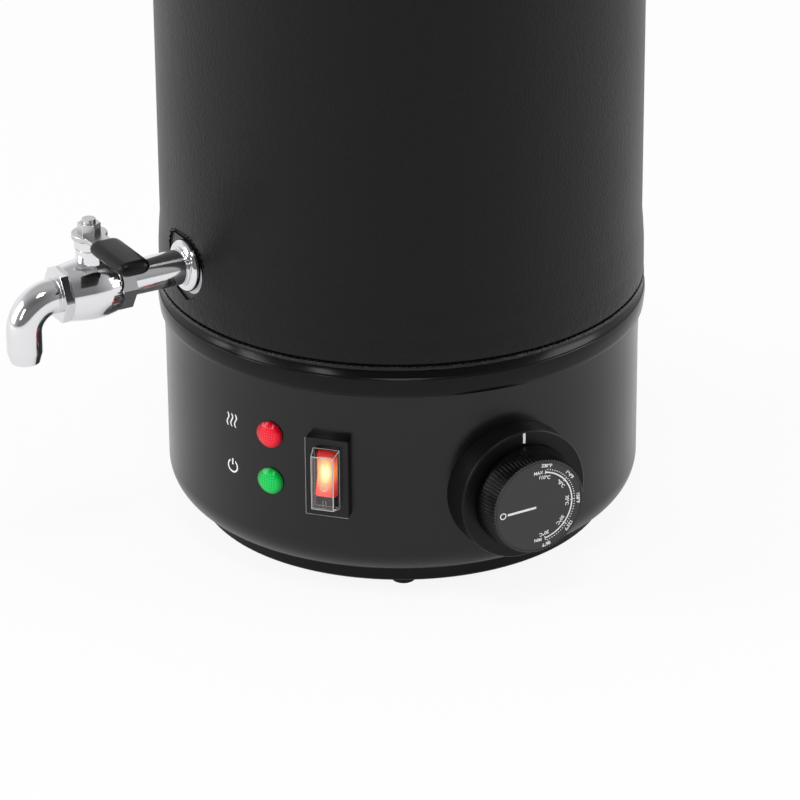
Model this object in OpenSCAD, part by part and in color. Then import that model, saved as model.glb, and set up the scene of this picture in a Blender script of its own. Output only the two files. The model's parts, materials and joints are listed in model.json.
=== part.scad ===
// Round wax melting pot: a stitched jacket over a steel shell, on a low round base
// that holds the thermostat, the switch and two lamps. A tap leaves the pot at the left.
// Millimetres. +Z is up, the floor is z = 0, the pot's axis is x = y = 0 and the front
// is -Y. An azimuth turns anticlockwise, seen from above, from the front.

/* [Base] */
// Outer radius of the base wall
base_r = 109; // [108.6:0.1:109.4]
// Height at which the base wall ends under the shoulder ring
base_top = 103; // [101:0.5:103.5]
// Radius of the rounded lower corner of the base
base_corner = 15; // [12:0.5:17]
// Radius of the bottom plate
plate_r = 94.7; // [93:0.1:95]
// Underside of the base housing, where the bottom plate is screwed on
plate_top = 11; // [10:0.5:12]
// Height of the rubber feet
foot_h = 5; // [4.5:0.5:6]
// Radius of a rubber foot
foot_r = 5.5; // [5:0.25:6]
// Radius of the circle on which the feet stand
foot_circle_r = 84.5; // [82:0.5:86]
// Number of feet
foot_count = 5; // [3:1:6]

/* [Jacket] */
// Outer radius of the jacket
jacket_r = 110; // [109.9:0.1:110.4]
// Top of the shoulder ring, where the shell stands
ring_top = 112.8; // [112.5:0.1:113.5]
// Outer radius of the shoulder ring
ring_r = 113.3; // [112.8:0.1:113.8]
// Lower edge of the hem band
hem_low = 114.8; // [114.4:0.1:116]
// Height of the hem band
hem_h = 3.5; // [3:0.1:4]
// Top of the jacket, under the top ring
jacket_top = 298; // [290:1:300]

/* [Pot] */
// Inner radius of the pot
pot_r = 95; // [94.6:0.1:95.2]
// Height of the pot's floor, inside
pot_floor = 126; // [124:0.5:126.5]
// Radius of the curve between the pot's floor and wall
pot_corner = 5; // [3:0.5:5]

/* [Thermostat] */
// Azimuth of the thermostat knob
knob_az = 26.7; // [24:0.1:30]
// Height of the knob's centre
knob_z = 53.3; // [50:0.1:57]
// Radius of the round bezel behind the knob
bezel_r = 30.7; // [29:0.1:32]
// Distance of the bezel's face from the pot's axis
bezel_face = 119.5; // [118.5:0.1:121]
// Radius of the knob over its ribs
knob_r = 21.9; // [21:0.1:23]
// Distance of the knob's face from the pot's axis
knob_face_d = 133.5; // [132:0.1:135]
// Number of ribs round the knob
rib_count = 90; // [60:1:104]

/* [Switch] */
// Azimuth of the switch
switch_az = -17.3; // [-19:0.1:-15]
// Height of the switch's centre
switch_z = 62.7; // [60:0.1:66]
// Width of the switch frame
switch_w = 19.9; // [19:0.1:21]
// Height of the switch frame
switch_h = 37.7; // [36.5:0.1:39]
// Distance of the switch frame's face from the pot's axis
switch_face = 113.5; // [113:0.1:114]
// Angle between the rocker's two halves, which is its whole travel
rocker_travel = 20; // [16:1:22]

/* [Lamps] */
// Azimuth of both lamps
lamp_az = -32.3; // [-35:0.1:-30]
// Height of the heating lamp
heating_z = 77.1; // [75:0.1:80]
// Height of the standby lamp
standby_z = 54.2; // [50:0.1:57]
// Radius of a lamp lens
lens_r = 6.6; // [6:0.1:7]

/* [Spout] */
// Azimuth of the spout
spout_az = -60; // [-63:0.5:-57]
// Height of the spout's axis
spout_z = 143; // [142.5:0.1:144]
// Outer radius of the spout pipe
pipe_r = 8; // [7.8:0.1:8.2]
// Bore radius of the spout, the valve ball and the seats
flow_r = 5.5; // [5:0.1:5.6]
// Distance of the valve's centre from the pot's axis
valve_d = 158; // [157:0.5:160]
// Radius of the valve's ball
ball_r = 9; // [8.9:0.05:9.1]
// Radius of the bend in the outlet nozzle
bend_r = 14; // [13:0.5:15]

/* [Lid] */
// Radius of the glass
glass_r = 101; // [100:0.5:101.5]
// Rise of the glass dome
dome_rise = 17; // [14:0.5:20]
// Radius of the lid knob
lid_knob_r = 17.5; // [16:0.5:19]

/* [Hidden] */
$fn = 96;

// Running clearance between a turning part and its bore
run = 0.05;
// Clearance of a screw in its hole
screw_gap = 0.1;
// Sheet thickness of the base and of the outer shell
sheet = 1.2;
base_in_r = base_r - sheet;
flange_in_r = 76;
jacket_t = 1.7;
shell_r = jacket_r - jacket_t;
shell_in_r = shell_r - sheet;
shell_flange_r = 99;
ring_flange_t = 2.2;
ring_flange_in = 92;
pot_t = 1;
pot_out_r = pot_r + pot_t;
pot_under = pot_floor - pot_t;
top_ring_h = 4;
rim_z = jacket_top + top_ring_h;
foot_screw_r = 1.5;
foot_edge = 0.8;
foot_recess_r = 3.3;
foot_recess_h = 2.6;
shell_screw_d = 103.4;
heater_r = 80;
heater_t = 7;
heater_under = pot_under - heater_t;
bar_t = 2;
// Place of the heater's two terminals, one on each side
terminal_x = 57;
terminal_y = 21;
// The shield under the heater is dished between the ring's flange
shield_t = 0.8;
dish_r = 90.8;
dish_z = ring_top - 5.6;
bend_from = 19.5;
// The spout's flange is drawn against the inside of the pot, with a seal on each side
spout_flange_r = 11.4;
seal_in = pot_r - 3.5;
seal_out = pot_out_r + 2;
stud_r = 3;
bulb_r = 3;
capillary_r = 0.9;
bend_in_r = 3;
bulb_y = -35;
lead_x = 50;
lead_z = 90;
cutout_y = 38;
spigot_r = 5;
gland_az = 180;
gland_z = 38;
cable_r = 3.6;
gland_thread_r = 6;
shaft_r = 3;
knob_back = bezel_face + 1.2;
knob_wall = 2;
knob_chamfer = 0.4;
skirt_h = 1.6;
skirt_lip = 0.3;
rib_depth = 0.5;
face_disc_r = knob_r - 1.1;
pivot_d = switch_face - 3;
rocker_w = 9.2;
rocker_end_r = 13.2;
rocker_rise = 4.4;
pin_r = 1.2;
cavity_y = 13.35;
cavity_x = 4.75;
lever_low = 25;
stem_r = 3;
glass_t = 4;
band_low = rim_z + 1;
glass_low = band_low + 0.8;
dome_r = (glass_r * glass_r + dome_rise * dome_rise) / (2 * dome_rise);
dome_top = glass_low + dome_rise + glass_t;
knob_screw_r = 2;
vent_d = 55;

// Points of an arc about (cx, cy), in a few straight steps
function arc(cx, cy, r, from, to, steps = 8) =
    [for (i = [0:steps]) let (a = from + (to - from) * i / steps)
        [cx + r * cos(a), cy + r * sin(a)]];

// Draws on the wall: +Z points out from the axis, +Y up and +X right, seen from outside
module on_wall(azimuth, height)
    rotate([0, 0, azimuth]) translate([0, 0, height]) rotate([90, 0, 0]) children();

// The round wall at a radius, as a solid to cut with
module wall_solid(r, high = 200) cylinder(r = r, h = high, $fn = 256);

// A round bar along Z
module rod(r, low, high) translate([0, 0, low]) cylinder(r = r, h = high - low);

// A round tube along Z
module tube(outer, inner, low, high)
    difference() {
        rod(outer, low, high);
        rod(inner, low - 1, high + 1);
    }

// A hexagon bar along Z
module hex_bar(across, low, high)
    translate([0, 0, low]) cylinder(r = across / 2 / cos(30), h = high - low, $fn = 6);

// A bar of rectangular section along Z
module block(w, h, low, high)
    translate([-w / 2, -h / 2, low]) cube([w, h, high - low]);

// A block with four rounded upright edges
module round_block(w, h, r, low, high)
    translate([0, 0, low]) linear_extrude(high - low) {
        square([w - 2 * r, h], center = true);
        square([w, h - 2 * r], center = true);
        for (x = [-1, 1], y = [-1, 1])
            translate([x * (w / 2 - r), y * (h / 2 - r)]) circle(r);
    }

// One copy of a part at each of a number of places round the axis
module ring_of(count, from = 0)
    for (i = [0:count - 1]) rotate([0, 0, from + i * 360 / count]) children();

// A cross-head screw with a round head: the head is below its seat, the shank above it
module cap_screw(shank_r, head_r, head_h, seat, tip)
    difference() {
        union() {
            rod(head_r, seat - head_h, seat);
            rod(shank_r, seat - 0.1, tip);
        }
        for (a = [0, 90]) rotate([0, 0, a]) block(head_r * 1.1, 0.7, seat - head_h - 1, seat - head_h + 0.9);
    }

// --- Base ---

module base_housing()
    color([0.12, 0.12, 0.12]) difference() {
        rotate_extrude() polygon(concat(
            [[flange_in_r, plate_top]],
            arc(base_r - base_corner, plate_top + base_corner, base_corner, -90, 0),
            [[base_r, base_top], [base_in_r, base_top]],
            arc(base_r - base_corner, plate_top + base_corner, base_corner - sheet, 0, -90),
            [[flange_in_r, plate_top + sheet]]));
        ring_of(foot_count) translate([0, -foot_circle_r, 0])
            rod(foot_screw_r + run, plate_top - 1, plate_top + 3);
        on_wall(knob_az, knob_z) rod(18, 90, 115);
        on_wall(switch_az, switch_z) block(14.2, 30, 90, 115);
        for (z = [heating_z, standby_z]) on_wall(lamp_az, z) rod(spigot_r + run, 90, 115);
        on_wall(gland_az, gland_z) rod(gland_thread_r + run, 90, 115);
    }

module shoulder_ring()
    color([0.09, 0.09, 0.09]) difference() {
        rotate_extrude() polygon(concat(
            [[base_in_r - 1.8, base_top - 7], [base_in_r - 0.05, base_top - 7],
             [base_in_r - 0.05, base_top], [base_r + 0.3, base_top],
             [ring_r - 0.5, ring_top - 2.4]],
            arc(ring_r - 0.9, ring_top - 0.9, 0.9, 0, 90, 4),
            [[ring_flange_in, ring_top], [ring_flange_in, ring_top - ring_flange_t],
             [base_in_r - 0.2, ring_top - ring_flange_t],
             [base_in_r - 1.8, ring_top - ring_flange_t - 4]]));
        ring_of(4, 45) translate([0, -shell_screw_d, 0])
            rod(foot_screw_r + screw_gap, ring_top - 5, ring_top + 1);
    }

module bottom_plate()
    color([0.10, 0.10, 0.10]) difference() {
        union() {
            rotate_extrude() polygon([[0, foot_h], [plate_r - 1, foot_h], [plate_r, foot_h + 1],
                [plate_r, plate_top], [plate_r - 1.6, plate_top],
                [plate_r - 1.6, foot_h + 1.6], [0, foot_h + 1.6]]);
            ring_of(foot_count) translate([0, -foot_circle_r, 0]) rod(4.5, foot_h, plate_top);
        }
        ring_of(foot_count) translate([0, -foot_circle_r, 0])
            rod(foot_screw_r + screw_gap, foot_h - 1, plate_top + 1);
        for (r = [30, 48]) ring_of(12, r) translate([0, -r, foot_h - 1]) {
            linear_extrude(4) union() {
                square([3, 10], center = true);
                for (y = [-5, 5]) translate([0, y]) circle(1.5);
            }
        }
    }

module rubber_feet()
    color([0.06, 0.06, 0.06]) ring_of(foot_count) translate([0, -foot_circle_r, 0])
        rotate_extrude() polygon(concat(
            [[foot_screw_r + screw_gap, foot_h], [foot_screw_r + screw_gap, foot_recess_h],
             [foot_recess_r, foot_recess_h], [foot_recess_r, 0]],
            arc(foot_r - foot_edge, foot_edge, foot_edge, -90, 0, 4),
            [[foot_r, foot_h]]));

module foot_screws()
    color("silver") ring_of(foot_count) translate([0, -foot_circle_r, 0])
        cap_screw(foot_screw_r, 2.8, 1.8, foot_recess_h, plate_top + 5);

// --- Shell and jacket ---

module outer_shell()
    color([0.2, 0.2, 0.2]) difference() {
        rotate_extrude() polygon([[shell_flange_r, ring_top], [shell_r, ring_top],
            [shell_r, jacket_top], [shell_in_r, jacket_top],
            [shell_in_r, ring_top + sheet], [shell_flange_r, ring_top + sheet]]);
        on_wall(spout_az, spout_z) rod(pipe_r + 1.5, 100, 115);
        ring_of(4, 45) translate([0, -shell_screw_d, 0])
            rod(foot_screw_r + run, ring_top - 1, ring_top + 3);
    }

module shell_screws()
    color("silver") ring_of(4, 45) translate([0, -shell_screw_d, 0])
        cap_screw(foot_screw_r, 2.8, 2, ring_top - ring_flange_t, ring_top + 4);

// Outline of the opening for the spout: a circle drawn out to a sewn point at each end
module jacket_opening()
    translate([-1.2, -1]) polygon(concat(
        [18.2 * [cos(128.3), sin(128.3)]],
        arc(0, 0, 15, 162.8, 250.4, 8),
        [16.4 * [cos(-85.8), sin(-85.8)]],
        arc(0, 0, 15, 298, 453.8, 14)));

module leather_jacket()
    color([0.13, 0.13, 0.13]) difference() {
        rotate_extrude() polygon([[shell_r, hem_low + hem_h], [jacket_r + 1.2, hem_low + hem_h],
            [jacket_r + 1, hem_low + 20], [jacket_r, hem_low + 34],
            [jacket_r, jacket_top], [shell_r, jacket_top]]);
        on_wall(spout_az, spout_z) translate([0, 0, 100]) linear_extrude(20) jacket_opening();
    }

module hem_band()
    color([0.16, 0.16, 0.16]) rotate_extrude() polygon(concat(
        [[shell_r, hem_low]],
        arc(jacket_r + 1.8 - hem_h / 2, hem_low + hem_h / 2, hem_h / 2, -90, 90),
        [[shell_r, hem_low + hem_h]]));

module top_ring()
    color([0.09, 0.09, 0.09]) rotate_extrude() polygon(concat(
        [[shell_in_r - 2, jacket_top - 8], [shell_in_r - 0.05, jacket_top - 8],
         [shell_in_r - 0.05, jacket_top], [jacket_r + 1.2, jacket_top]],
        arc(jacket_r + 0.7, jacket_top + 1.5, 1.5, -60, 60, 6),
        [[jacket_r - 0.5, rim_z], [pot_out_r + 1, rim_z], [pot_out_r + 1, rim_z - 2],
         [shell_in_r - 2, rim_z - 2.6]]));

module insulation_sleeve()
    color([0.86, 0.82, 0.68]) difference() {
        tube(shell_in_r - 2.4, pot_out_r + 0.6, ring_top + sheet, jacket_top - 9);
        on_wall(spout_az, spout_z) rod(16, 90, 115);
        ring_of(4, 45) translate([0, -shell_screw_d, 0]) rod(2.5, ring_top, ring_top + 6);
    }

module heat_shield()
    color([0.7, 0.7, 0.72]) difference() {
        rotate_extrude() polygon([[0, dish_z], [dish_r, dish_z], [dish_r, ring_top],
            [shell_flange_r - 0.5, ring_top], [shell_flange_r - 0.5, ring_top + shield_t],
            [dish_r - shield_t, ring_top + shield_t],
            [dish_r - shield_t, dish_z + shield_t], [0, dish_z + shield_t]]);
        for (x = [-terminal_x, terminal_x]) translate([x, terminal_y, 0])
            rod(6, dish_z - 1, dish_z + 2);
        translate([0, cutout_y, 0]) rod(9, dish_z - 1, dish_z + 2);
        translate([lead_x, bulb_y, 0]) rod(3, dish_z - 1, dish_z + 2);
    }

// --- Pot and heater ---

module inner_pot()
    color([0.78, 0.78, 0.8]) {
        difference() {
            rotate_extrude() polygon(concat(
                [[0, pot_under]],
                arc(pot_r - pot_corner, pot_floor + pot_corner, pot_corner + pot_t, -90, 0, 6),
                [[pot_out_r, rim_z], [pot_r + 9.5, rim_z]],
                arc(pot_r + 9.5, rim_z + 1, 1, -90, 90, 6),
                [[pot_r + 8.6, rim_z + 1], [pot_r, rim_z + 1]],
                arc(pot_r - pot_corner, pot_floor + pot_corner, pot_corner, 0, -90, 6),
                [[0, pot_floor]]));
            on_wall(spout_az, spout_z) rod(pipe_r + run, 85, 105);
        }
        rod(stud_r, heater_under - 7.5, pot_under + 0.2);
    }

module heater_plate()
    color([0.6, 0.6, 0.62]) {
        difference() {
            rod(heater_r, heater_under, pot_under);
            rod(stud_r + 0.4, heater_under - 1, pot_under + 1);
            translate([0, 0, heater_under - 1]) difference() {
                rod(62, 0, 2.5);
                rod(52, -1, 3);
            }
        }
        for (x = [-terminal_x, terminal_x]) translate([x, terminal_y, 0])
            rod(3, heater_under - 7, heater_under + 2);
    }

module heater_clamp()
    color("silver") difference() {
        union() {
            block(150, 18, heater_under - bar_t, heater_under);
            for (x = [-75, 75]) translate([x, 0, 0])
                rod(9, heater_under - bar_t, heater_under);
        }
        rod(stud_r + 0.3, heater_under - 5, heater_under + 1);
    }

module heater_nut()
    color("silver") difference() {
        hex_bar(10, heater_under - bar_t - 5, heater_under - bar_t);
        rod(stud_r + run, heater_under - 12, heater_under + 1);
    }

// A quarter turn of the thin tube, from +X round to +Y, a little thicker than its straight runs
module tube_bend()
    rotate_extrude(angle = 90) translate([bend_in_r, 0]) circle(capillary_r + run);

// The bulb under the heater, and the thin tube that joins it to the thermostat
module thermostat_bulb()
    color([0.75, 0.5, 0.3]) {
        bulb_z = heater_under - bulb_r;
        entry = 80 * [sin(knob_az), -cos(knob_az)];
        run_way = entry - [lead_x, bulb_y];
        run_az = atan2(run_way[1], run_way[0]);
        translate([-30, bulb_y, bulb_z]) rotate([0, 90, 0]) rod(bulb_r, 0, 76);
        translate([0, bulb_y, bulb_z]) rotate([0, 90, 0])
            rod(capillary_r, lead_x - 6, lead_x - bend_in_r);
        translate([lead_x - bend_in_r, bulb_y, bulb_z - bend_in_r]) rotate([90, 0, 0]) tube_bend();
        translate([lead_x, bulb_y, 0])
            rod(capillary_r, lead_z + bend_in_r, bulb_z - bend_in_r);
        translate([lead_x, bulb_y, lead_z]) rotate([0, 0, run_az]) {
            translate([bend_in_r, 0, bend_in_r]) rotate([90, 180, 0]) tube_bend();
            rotate([0, 90, 0]) rod(capillary_r, bend_in_r, norm(run_way) - bend_in_r);
            translate([norm(run_way) - bend_in_r, 0, -bend_in_r]) rotate([90, 0, 0]) tube_bend();
        }
        translate([entry[0], entry[1], 0]) rod(capillary_r, knob_z + 14, lead_z - bend_in_r);
    }

module bulb_clip()
    color("silver") for (x = [-18, 28]) translate([x, bulb_y, heater_under - bulb_r])
        rotate([0, 90, 0]) {
            intersection() {
                tube(bulb_r + 1, bulb_r + run, 0, 8);
                translate([0.01 - bulb_r, -5, -1]) cube([10, 10, 10]);
            }
            for (s = [-1, 1]) translate([-bulb_r, s > 0 ? bulb_r + 0.3 : -10 - bulb_r - 0.3, 0])
                cube([1, 10, 8]);
        }

module thermal_cutout()
    color([0.85, 0.85, 0.8]) translate([0, cutout_y, 0]) {
        rod(8, heater_under - 6, heater_under);
        for (x = [-4, 4]) translate([x, 0, 0]) block(0.8, 5, heater_under - 12.5, heater_under - 5.9);
    }

module terminal_block()
    color([0.9, 0.88, 0.82]) translate([0, 64, 0]) difference() {
        block(34, 18, foot_h + 1.6, 22);
        for (x = [-11, 0, 11]) translate([x, 0, 17]) {
            rotate([90, 0, 0]) rod(2, -10, 10);
            rod(2, 0, 10);
        }
    }

// --- Thermostat, bezel and knob ---

module thermostat_body()
    color([0.25, 0.25, 0.28]) on_wall(knob_az, knob_z) difference() {
        union() {
            round_block(34, 28, 2, 76, 101);
            rod(12, 100.9, bezel_face - 4);
            block(36, 10, bezel_face - 4, bezel_face - 2.5);
            for (y = [-8, 0, 8]) translate([0, y, 0]) block(6.3, 0.8, 68, 76.1);
        }
        rod(shaft_r + run, 104, bezel_face);
        for (x = [-14, 14]) translate([x, 0, 0]) rod(foot_screw_r + run, 105, bezel_face);
    }

module knob_bezel()
    color([0.07, 0.07, 0.07]) difference() {
        on_wall(knob_az, knob_z) difference() {
            union() {
                rod(bezel_r, 100, bezel_face - 0.6);
                translate([0, 0, bezel_face - 0.6])
                    cylinder(r1 = bezel_r, r2 = bezel_r - 0.6, h = 0.6);
            }
            rod(bezel_r - 2.4, 90, bezel_face - 2.5);
            rod(shaft_r + 1, 90, bezel_face + 1);
            for (x = [-14, 14]) translate([x, 0, 0]) rod(foot_screw_r + screw_gap, 90, bezel_face + 1);
        }
        wall_solid(base_r);
    }

module thermostat_screws()
    color("silver") on_wall(knob_az, knob_z) for (x = [-14, 14]) translate([x, 0, 0])
        difference() {
            union() {
                rod(foot_screw_r, 108, bezel_face + 0.1);
                rod(2.6, bezel_face, bezel_face + 0.9);
            }
            block(4, 0.7, bezel_face + 0.4, bezel_face + 2);
        }

module thermostat_shaft()
    color([0.8, 0.8, 0.8]) on_wall(knob_az, knob_z) difference() {
        rod(shaft_r, 105, knob_face_d - 3.2);
        translate([-5, 1.5, knob_back - 0.4]) cube([10, 5, 20]);
    }

// Outline of the ribbed grip: each rib has two points on its tip and two in the groove beside it
module ribbed_outline(r, depth, count)
    polygon([for (i = [0:4 * count - 1]) let (a = 90 * (i + 0.5) / count)
        (r - (i % 4 < 2 ? 0 : depth)) * [cos(a), sin(a)]]);

module control_knob()
    color([0.06, 0.06, 0.06]) on_wall(knob_az, knob_z) difference() {
        union() {
            rod(knob_r + skirt_lip, knob_back, knob_back + skirt_h);
            translate([0, 0, knob_back + skirt_h])
                linear_extrude(knob_face_d - knob_chamfer - knob_back - skirt_h)
                    ribbed_outline(knob_r, rib_depth, rib_count);
            translate([0, 0, knob_face_d - knob_chamfer])
                cylinder(r1 = knob_r - rib_depth - 0.1, r2 = face_disc_r + 0.3, h = knob_chamfer);
        }
        difference() {
            rod(knob_r - knob_wall - 0.6, knob_back - 1, knob_face_d - 3);
            rod(7, knob_back - 1, knob_face_d);
            for (a = [0, 60, 120]) rotate([0, 0, a])
                block(2 * knob_r, 1.4, knob_back + 4, knob_face_d);
        }
        intersection() {
            rod(shaft_r + run, knob_back - 1, knob_face_d - 3.1);
            translate([-5, -10, knob_back - 2]) cube([10, 11.5 + run, 20]);
        }
        rod(face_disc_r, knob_face_d - 0.8, knob_face_d + 1);
    }

module knob_face()
    color([0.25, 0.25, 0.25]) on_wall(knob_az, knob_z)
        rod(face_disc_r - run, knob_face_d - 0.8, knob_face_d);

// --- Switch ---

module switch_housing()
    color([0.06, 0.06, 0.06]) difference() {
        union() {
            difference() {
                on_wall(switch_az, switch_z)
                    round_block(switch_w, switch_h, 0.8, 100, switch_face);
                wall_solid(base_r);
            }
            on_wall(switch_az, switch_z) {
                block(14, 29.6, 84, base_r + 1);
                for (side = [0, 1]) mirror([0, side, 0]) translate([-4, 14.8, 0])
                    rotate([90, 0, 90]) linear_extrude(8)
                        polygon([[-0.5, 102], [1.2, 106.2], [1.2, 106.8], [-0.5, 106.8]]);
            }
        }
        on_wall(switch_az, switch_z) {
            block(2 * cavity_x, 2 * cavity_y, pivot_d - 9, switch_face + 1);
            rotate([0, 90, 0]) translate([-pivot_d, 0, 0]) rod(pin_r + run, -6.2, 6.2);
        }
    }

module switch_terminals()
    color("silver") on_wall(switch_az, switch_z) for (y = [-9, 0, 9]) translate([0, y, 0])
        block(6.3, 0.8, 76, 84);

// Profile of the rocker, level: two halves that slope up to their ends
module rocker_profile()
    intersection() {
        circle(rocker_end_r);
        polygon([[-14, -1], [-14, rocker_rise + 14 * tan(rocker_travel / 2)], [0, rocker_rise],
            [14, rocker_rise + 14 * tan(rocker_travel / 2)], [14, -1], [5, -7], [-5, -7]]);
    }

// The rocker is at rest with its upper end pressed in
module rocker()
    color([0.9, 0.15, 0.1]) on_wall(switch_az, switch_z) translate([0, 0, pivot_d])
        rotate([rocker_travel / -2, 0, 0]) {
            rotate([90, 0, 90]) translate([0, 0, -rocker_w / 2]) linear_extrude(rocker_w)
                rocker_profile();
            rotate([0, 90, 0]) rod(pin_r, -6, 6);
        }

// A tapered clear cap over the rocker
module tapered(w, h, top_w, top_h, low, high)
    hull() {
        block(w, h, low, low + 0.01);
        block(top_w, top_h, high - 0.01, high);
    }

module rocker_cover()
    color([0.9, 0.95, 1, 0.3]) on_wall(switch_az, switch_z) difference() {
        tapered(12, 28.5, 10.5, 25.8, switch_face, switch_face + 9);
        tapered(10.6, 27.1, 9.3, 24.6, switch_face - 0.02, switch_face + 8.3);
    }

// --- Lamps ---

module lamp_lens(height)
    difference() {
        on_wall(lamp_az, height) union() {
            rod(lens_r, 105, base_r + 1.2);
            intersection() {
                translate([0, 0, base_r + 3.6 - 11]) sphere(11);
                rod(lens_r, base_r + 1, base_r + 5);
            }
            rod(spigot_r, 104, 108);
        }
        difference() {
            wall_solid(base_r);
            on_wall(lamp_az, height) rod(spigot_r, 106, 115);
        }
    }

module heating_lamp_lens() color([0.95, 0.1, 0.12]) lamp_lens(heating_z);

module standby_lamp_lens() color([0.1, 0.8, 0.3]) lamp_lens(standby_z);

module lamp_bodies()
    color([0.85, 0.85, 0.82]) for (z = [heating_z, standby_z]) on_wall(lamp_az, z) {
        rod(spigot_r, 88, 106);
        for (x = [-2, 2]) translate([x, 0, 0]) rod(0.5, 80, 88.1);
    }

module lamp_nuts()
    color([0.9, 0.9, 0.88]) intersection() {
        for (z = [heating_z, standby_z]) on_wall(lamp_az, z)
            tube(8, spigot_r + run, 101, 112);
        wall_solid(base_in_r);
    }

// --- Cable gland ---

module gland_body()
    color([0.08, 0.08, 0.08]) difference() {
        union() {
            difference() {
                on_wall(gland_az, gland_z) hex_bar(16, 100, base_r + 5);
                wall_solid(base_r);
            }
            on_wall(gland_az, gland_z) rod(gland_thread_r, 97, base_r + 8);
        }
        on_wall(gland_az, gland_z) rod(cable_r, 90, 130);
    }

module gland_cap()
    color([0.08, 0.08, 0.08]) on_wall(gland_az, gland_z) difference() {
        union() {
            hex_bar(15, base_r + 5, base_r + 10);
            rotate_extrude() polygon(concat([[0, base_r + 10]],
                [[7.2, base_r + 10]], arc(3.9, base_r + 10.5, 3.3, 0, 60, 5), [[0, base_r + 14]]));
        }
        rod(gland_thread_r + run, base_r + 4, base_r + 8);
        rod(cable_r, base_r, base_r + 20);
    }

module gland_nut()
    color([0.08, 0.08, 0.08]) difference() {
        intersection() {
            on_wall(gland_az, gland_z) hex_bar(16, 102, 115);
            wall_solid(base_in_r);
        }
        on_wall(gland_az, gland_z) rod(gland_thread_r + run, 90, 130);
    }

// --- Spout and tap ---

module spout_pipe()
    color([0.82, 0.82, 0.84]) on_wall(spout_az, spout_z) difference() {
        union() {
            rod(spout_flange_r, seal_in - 2, seal_in);
            rod(pipe_r, seal_in - 0.5, valve_d - 11);
        }
        rod(flow_r, 80, valve_d);
    }

// A soft ring on each side of the pot's wall
module spout_gaskets()
    color([0.85, 0.35, 0.2]) {
        difference() {
            on_wall(spout_az, spout_z) tube(spout_flange_r, pipe_r + run, seal_in, pot_out_r);
            difference() {
                wall_solid(150);
                wall_solid(pot_r);
            }
        }
        difference() {
            on_wall(spout_az, spout_z) tube(12, pipe_r + run, seal_in, seal_out);
            wall_solid(pot_out_r);
        }
    }

module spout_locknut()
    color("silver") on_wall(spout_az, spout_z) difference() {
        hex_bar(22, seal_out, seal_out + 5.5);
        rod(pipe_r + run, seal_in, shell_in_r);
    }

module spout_washer()
    color([0.8, 0.8, 0.82]) difference() {
        on_wall(spout_az, spout_z) tube(13.2, pipe_r + run, 100, shell_r + 1.2);
        wall_solid(shell_r);
    }

module spout_collar()
    color([0.85, 0.85, 0.87]) on_wall(spout_az, spout_z) translate([0, 0, shell_r + 1.2])
        rotate_extrude() polygon(concat(
            [[pipe_r + run, 0], [12.4, 0]],
            arc(9.2, 1.6, 3.2, 0, 90, 6),
            [[pipe_r + 0.6, 4.8], [pipe_r + run, 4.4]]));

module valve_body()
    color([0.78, 0.78, 0.8]) on_wall(spout_az, spout_z) difference() {
        union() {
            hex_bar(22, valve_d - 17, valve_d - 10);
            rotate_extrude() polygon([[0, valve_d - 11], [11.2, valve_d - 11], [13.2, valve_d - 8.5],
                [14.2, valve_d - 3], [14.2, valve_d + 3], [13.4, valve_d + 9],
                [12.6, valve_d + 14], [0, valve_d + 14]]);
            translate([0, 0, valve_d]) rotate([-90, 0, 0]) rod(6.5, 0, 19);
        }
        rod(pipe_r + run, valve_d - 20, valve_d - 11);
        rod(flow_r, valve_d - 20, valve_d);
        rod(10.6, valve_d - 9.6, valve_d + 20);
        translate([0, 0, valve_d]) rotate([-90, 0, 0]) {
            rod(stem_r + run, 0, 30);
            rod(4.6 + run, 14, 30);
        }
    }

// The elbow starts at the valve and ends in a straight mouth that points down. Its
// pieces meet face to face.
module outlet_nozzle()
    color([0.8, 0.8, 0.82]) on_wall(spout_az, spout_z) {
        difference() {
            union() {
                rod(10.6 - run, valve_d + 9.6, valve_d + 14);
                hex_bar(22, valve_d + 14, valve_d + 18);
                rod(pipe_r, valve_d + 18, valve_d + bend_from);
            }
            rod(flow_r, valve_d, valve_d + 30);
        }
        translate([0, -bend_r, valve_d + bend_from]) {
            rotate([90, 0, 90]) rotate_extrude(angle = 90) translate([bend_r, 0]) difference() {
                circle(pipe_r);
                circle(flow_r);
            }
            translate([0, 0, bend_r]) rotate([90, 0, 0]) difference() {
                union() {
                    rod(pipe_r, 0, 9);
                    translate([0, 0, 9]) cylinder(r1 = pipe_r, r2 = 6.6, h = 5);
                }
                rod(flow_r, -1, 20);
            }
        }
    }

module valve_seats()
    color("white") on_wall(spout_az, spout_z) for (s = [-1, 1])
        difference() {
            tube(10.5, flow_r, valve_d + (s < 0 ? -9.6 : 4.3), valve_d + (s < 0 ? -4.3 : 9.6));
            translate([0, 0, valve_d]) sphere(ball_r + run);
        }

// Closed at rest: the ball's bore lies across the flow
module valve_ball()
    color([0.85, 0.85, 0.87]) on_wall(spout_az, spout_z) translate([0, 0, valve_d]) difference() {
        sphere(ball_r);
        rotate([0, 90, 0]) rod(flow_r, -10, 10);
        translate([-5, 7, -1.5]) cube([10, 4, 3]);
    }

module valve_stem()
    color([0.8, 0.8, 0.82]) on_wall(spout_az, spout_z) translate([0, 0, valve_d])
        rotate([-90, 0, 0]) {
            rod(stem_r, 9.4, lever_low + 8);
            intersection() {
                rod(stem_r, 7.1, 9.5);
                translate([-5, -1.4, 7]) cube([10, 2.8, 3]);
            }
        }

module packing_nut()
    color([0.8, 0.8, 0.82]) on_wall(spout_az, spout_z) translate([0, 0, valve_d])
        rotate([-90, 0, 0]) difference() {
            union() {
                rod(4.6, 15, 19.1);
                hex_bar(12, 19, 23.5);
            }
            rod(stem_r + run, 10, 30);
        }

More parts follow.
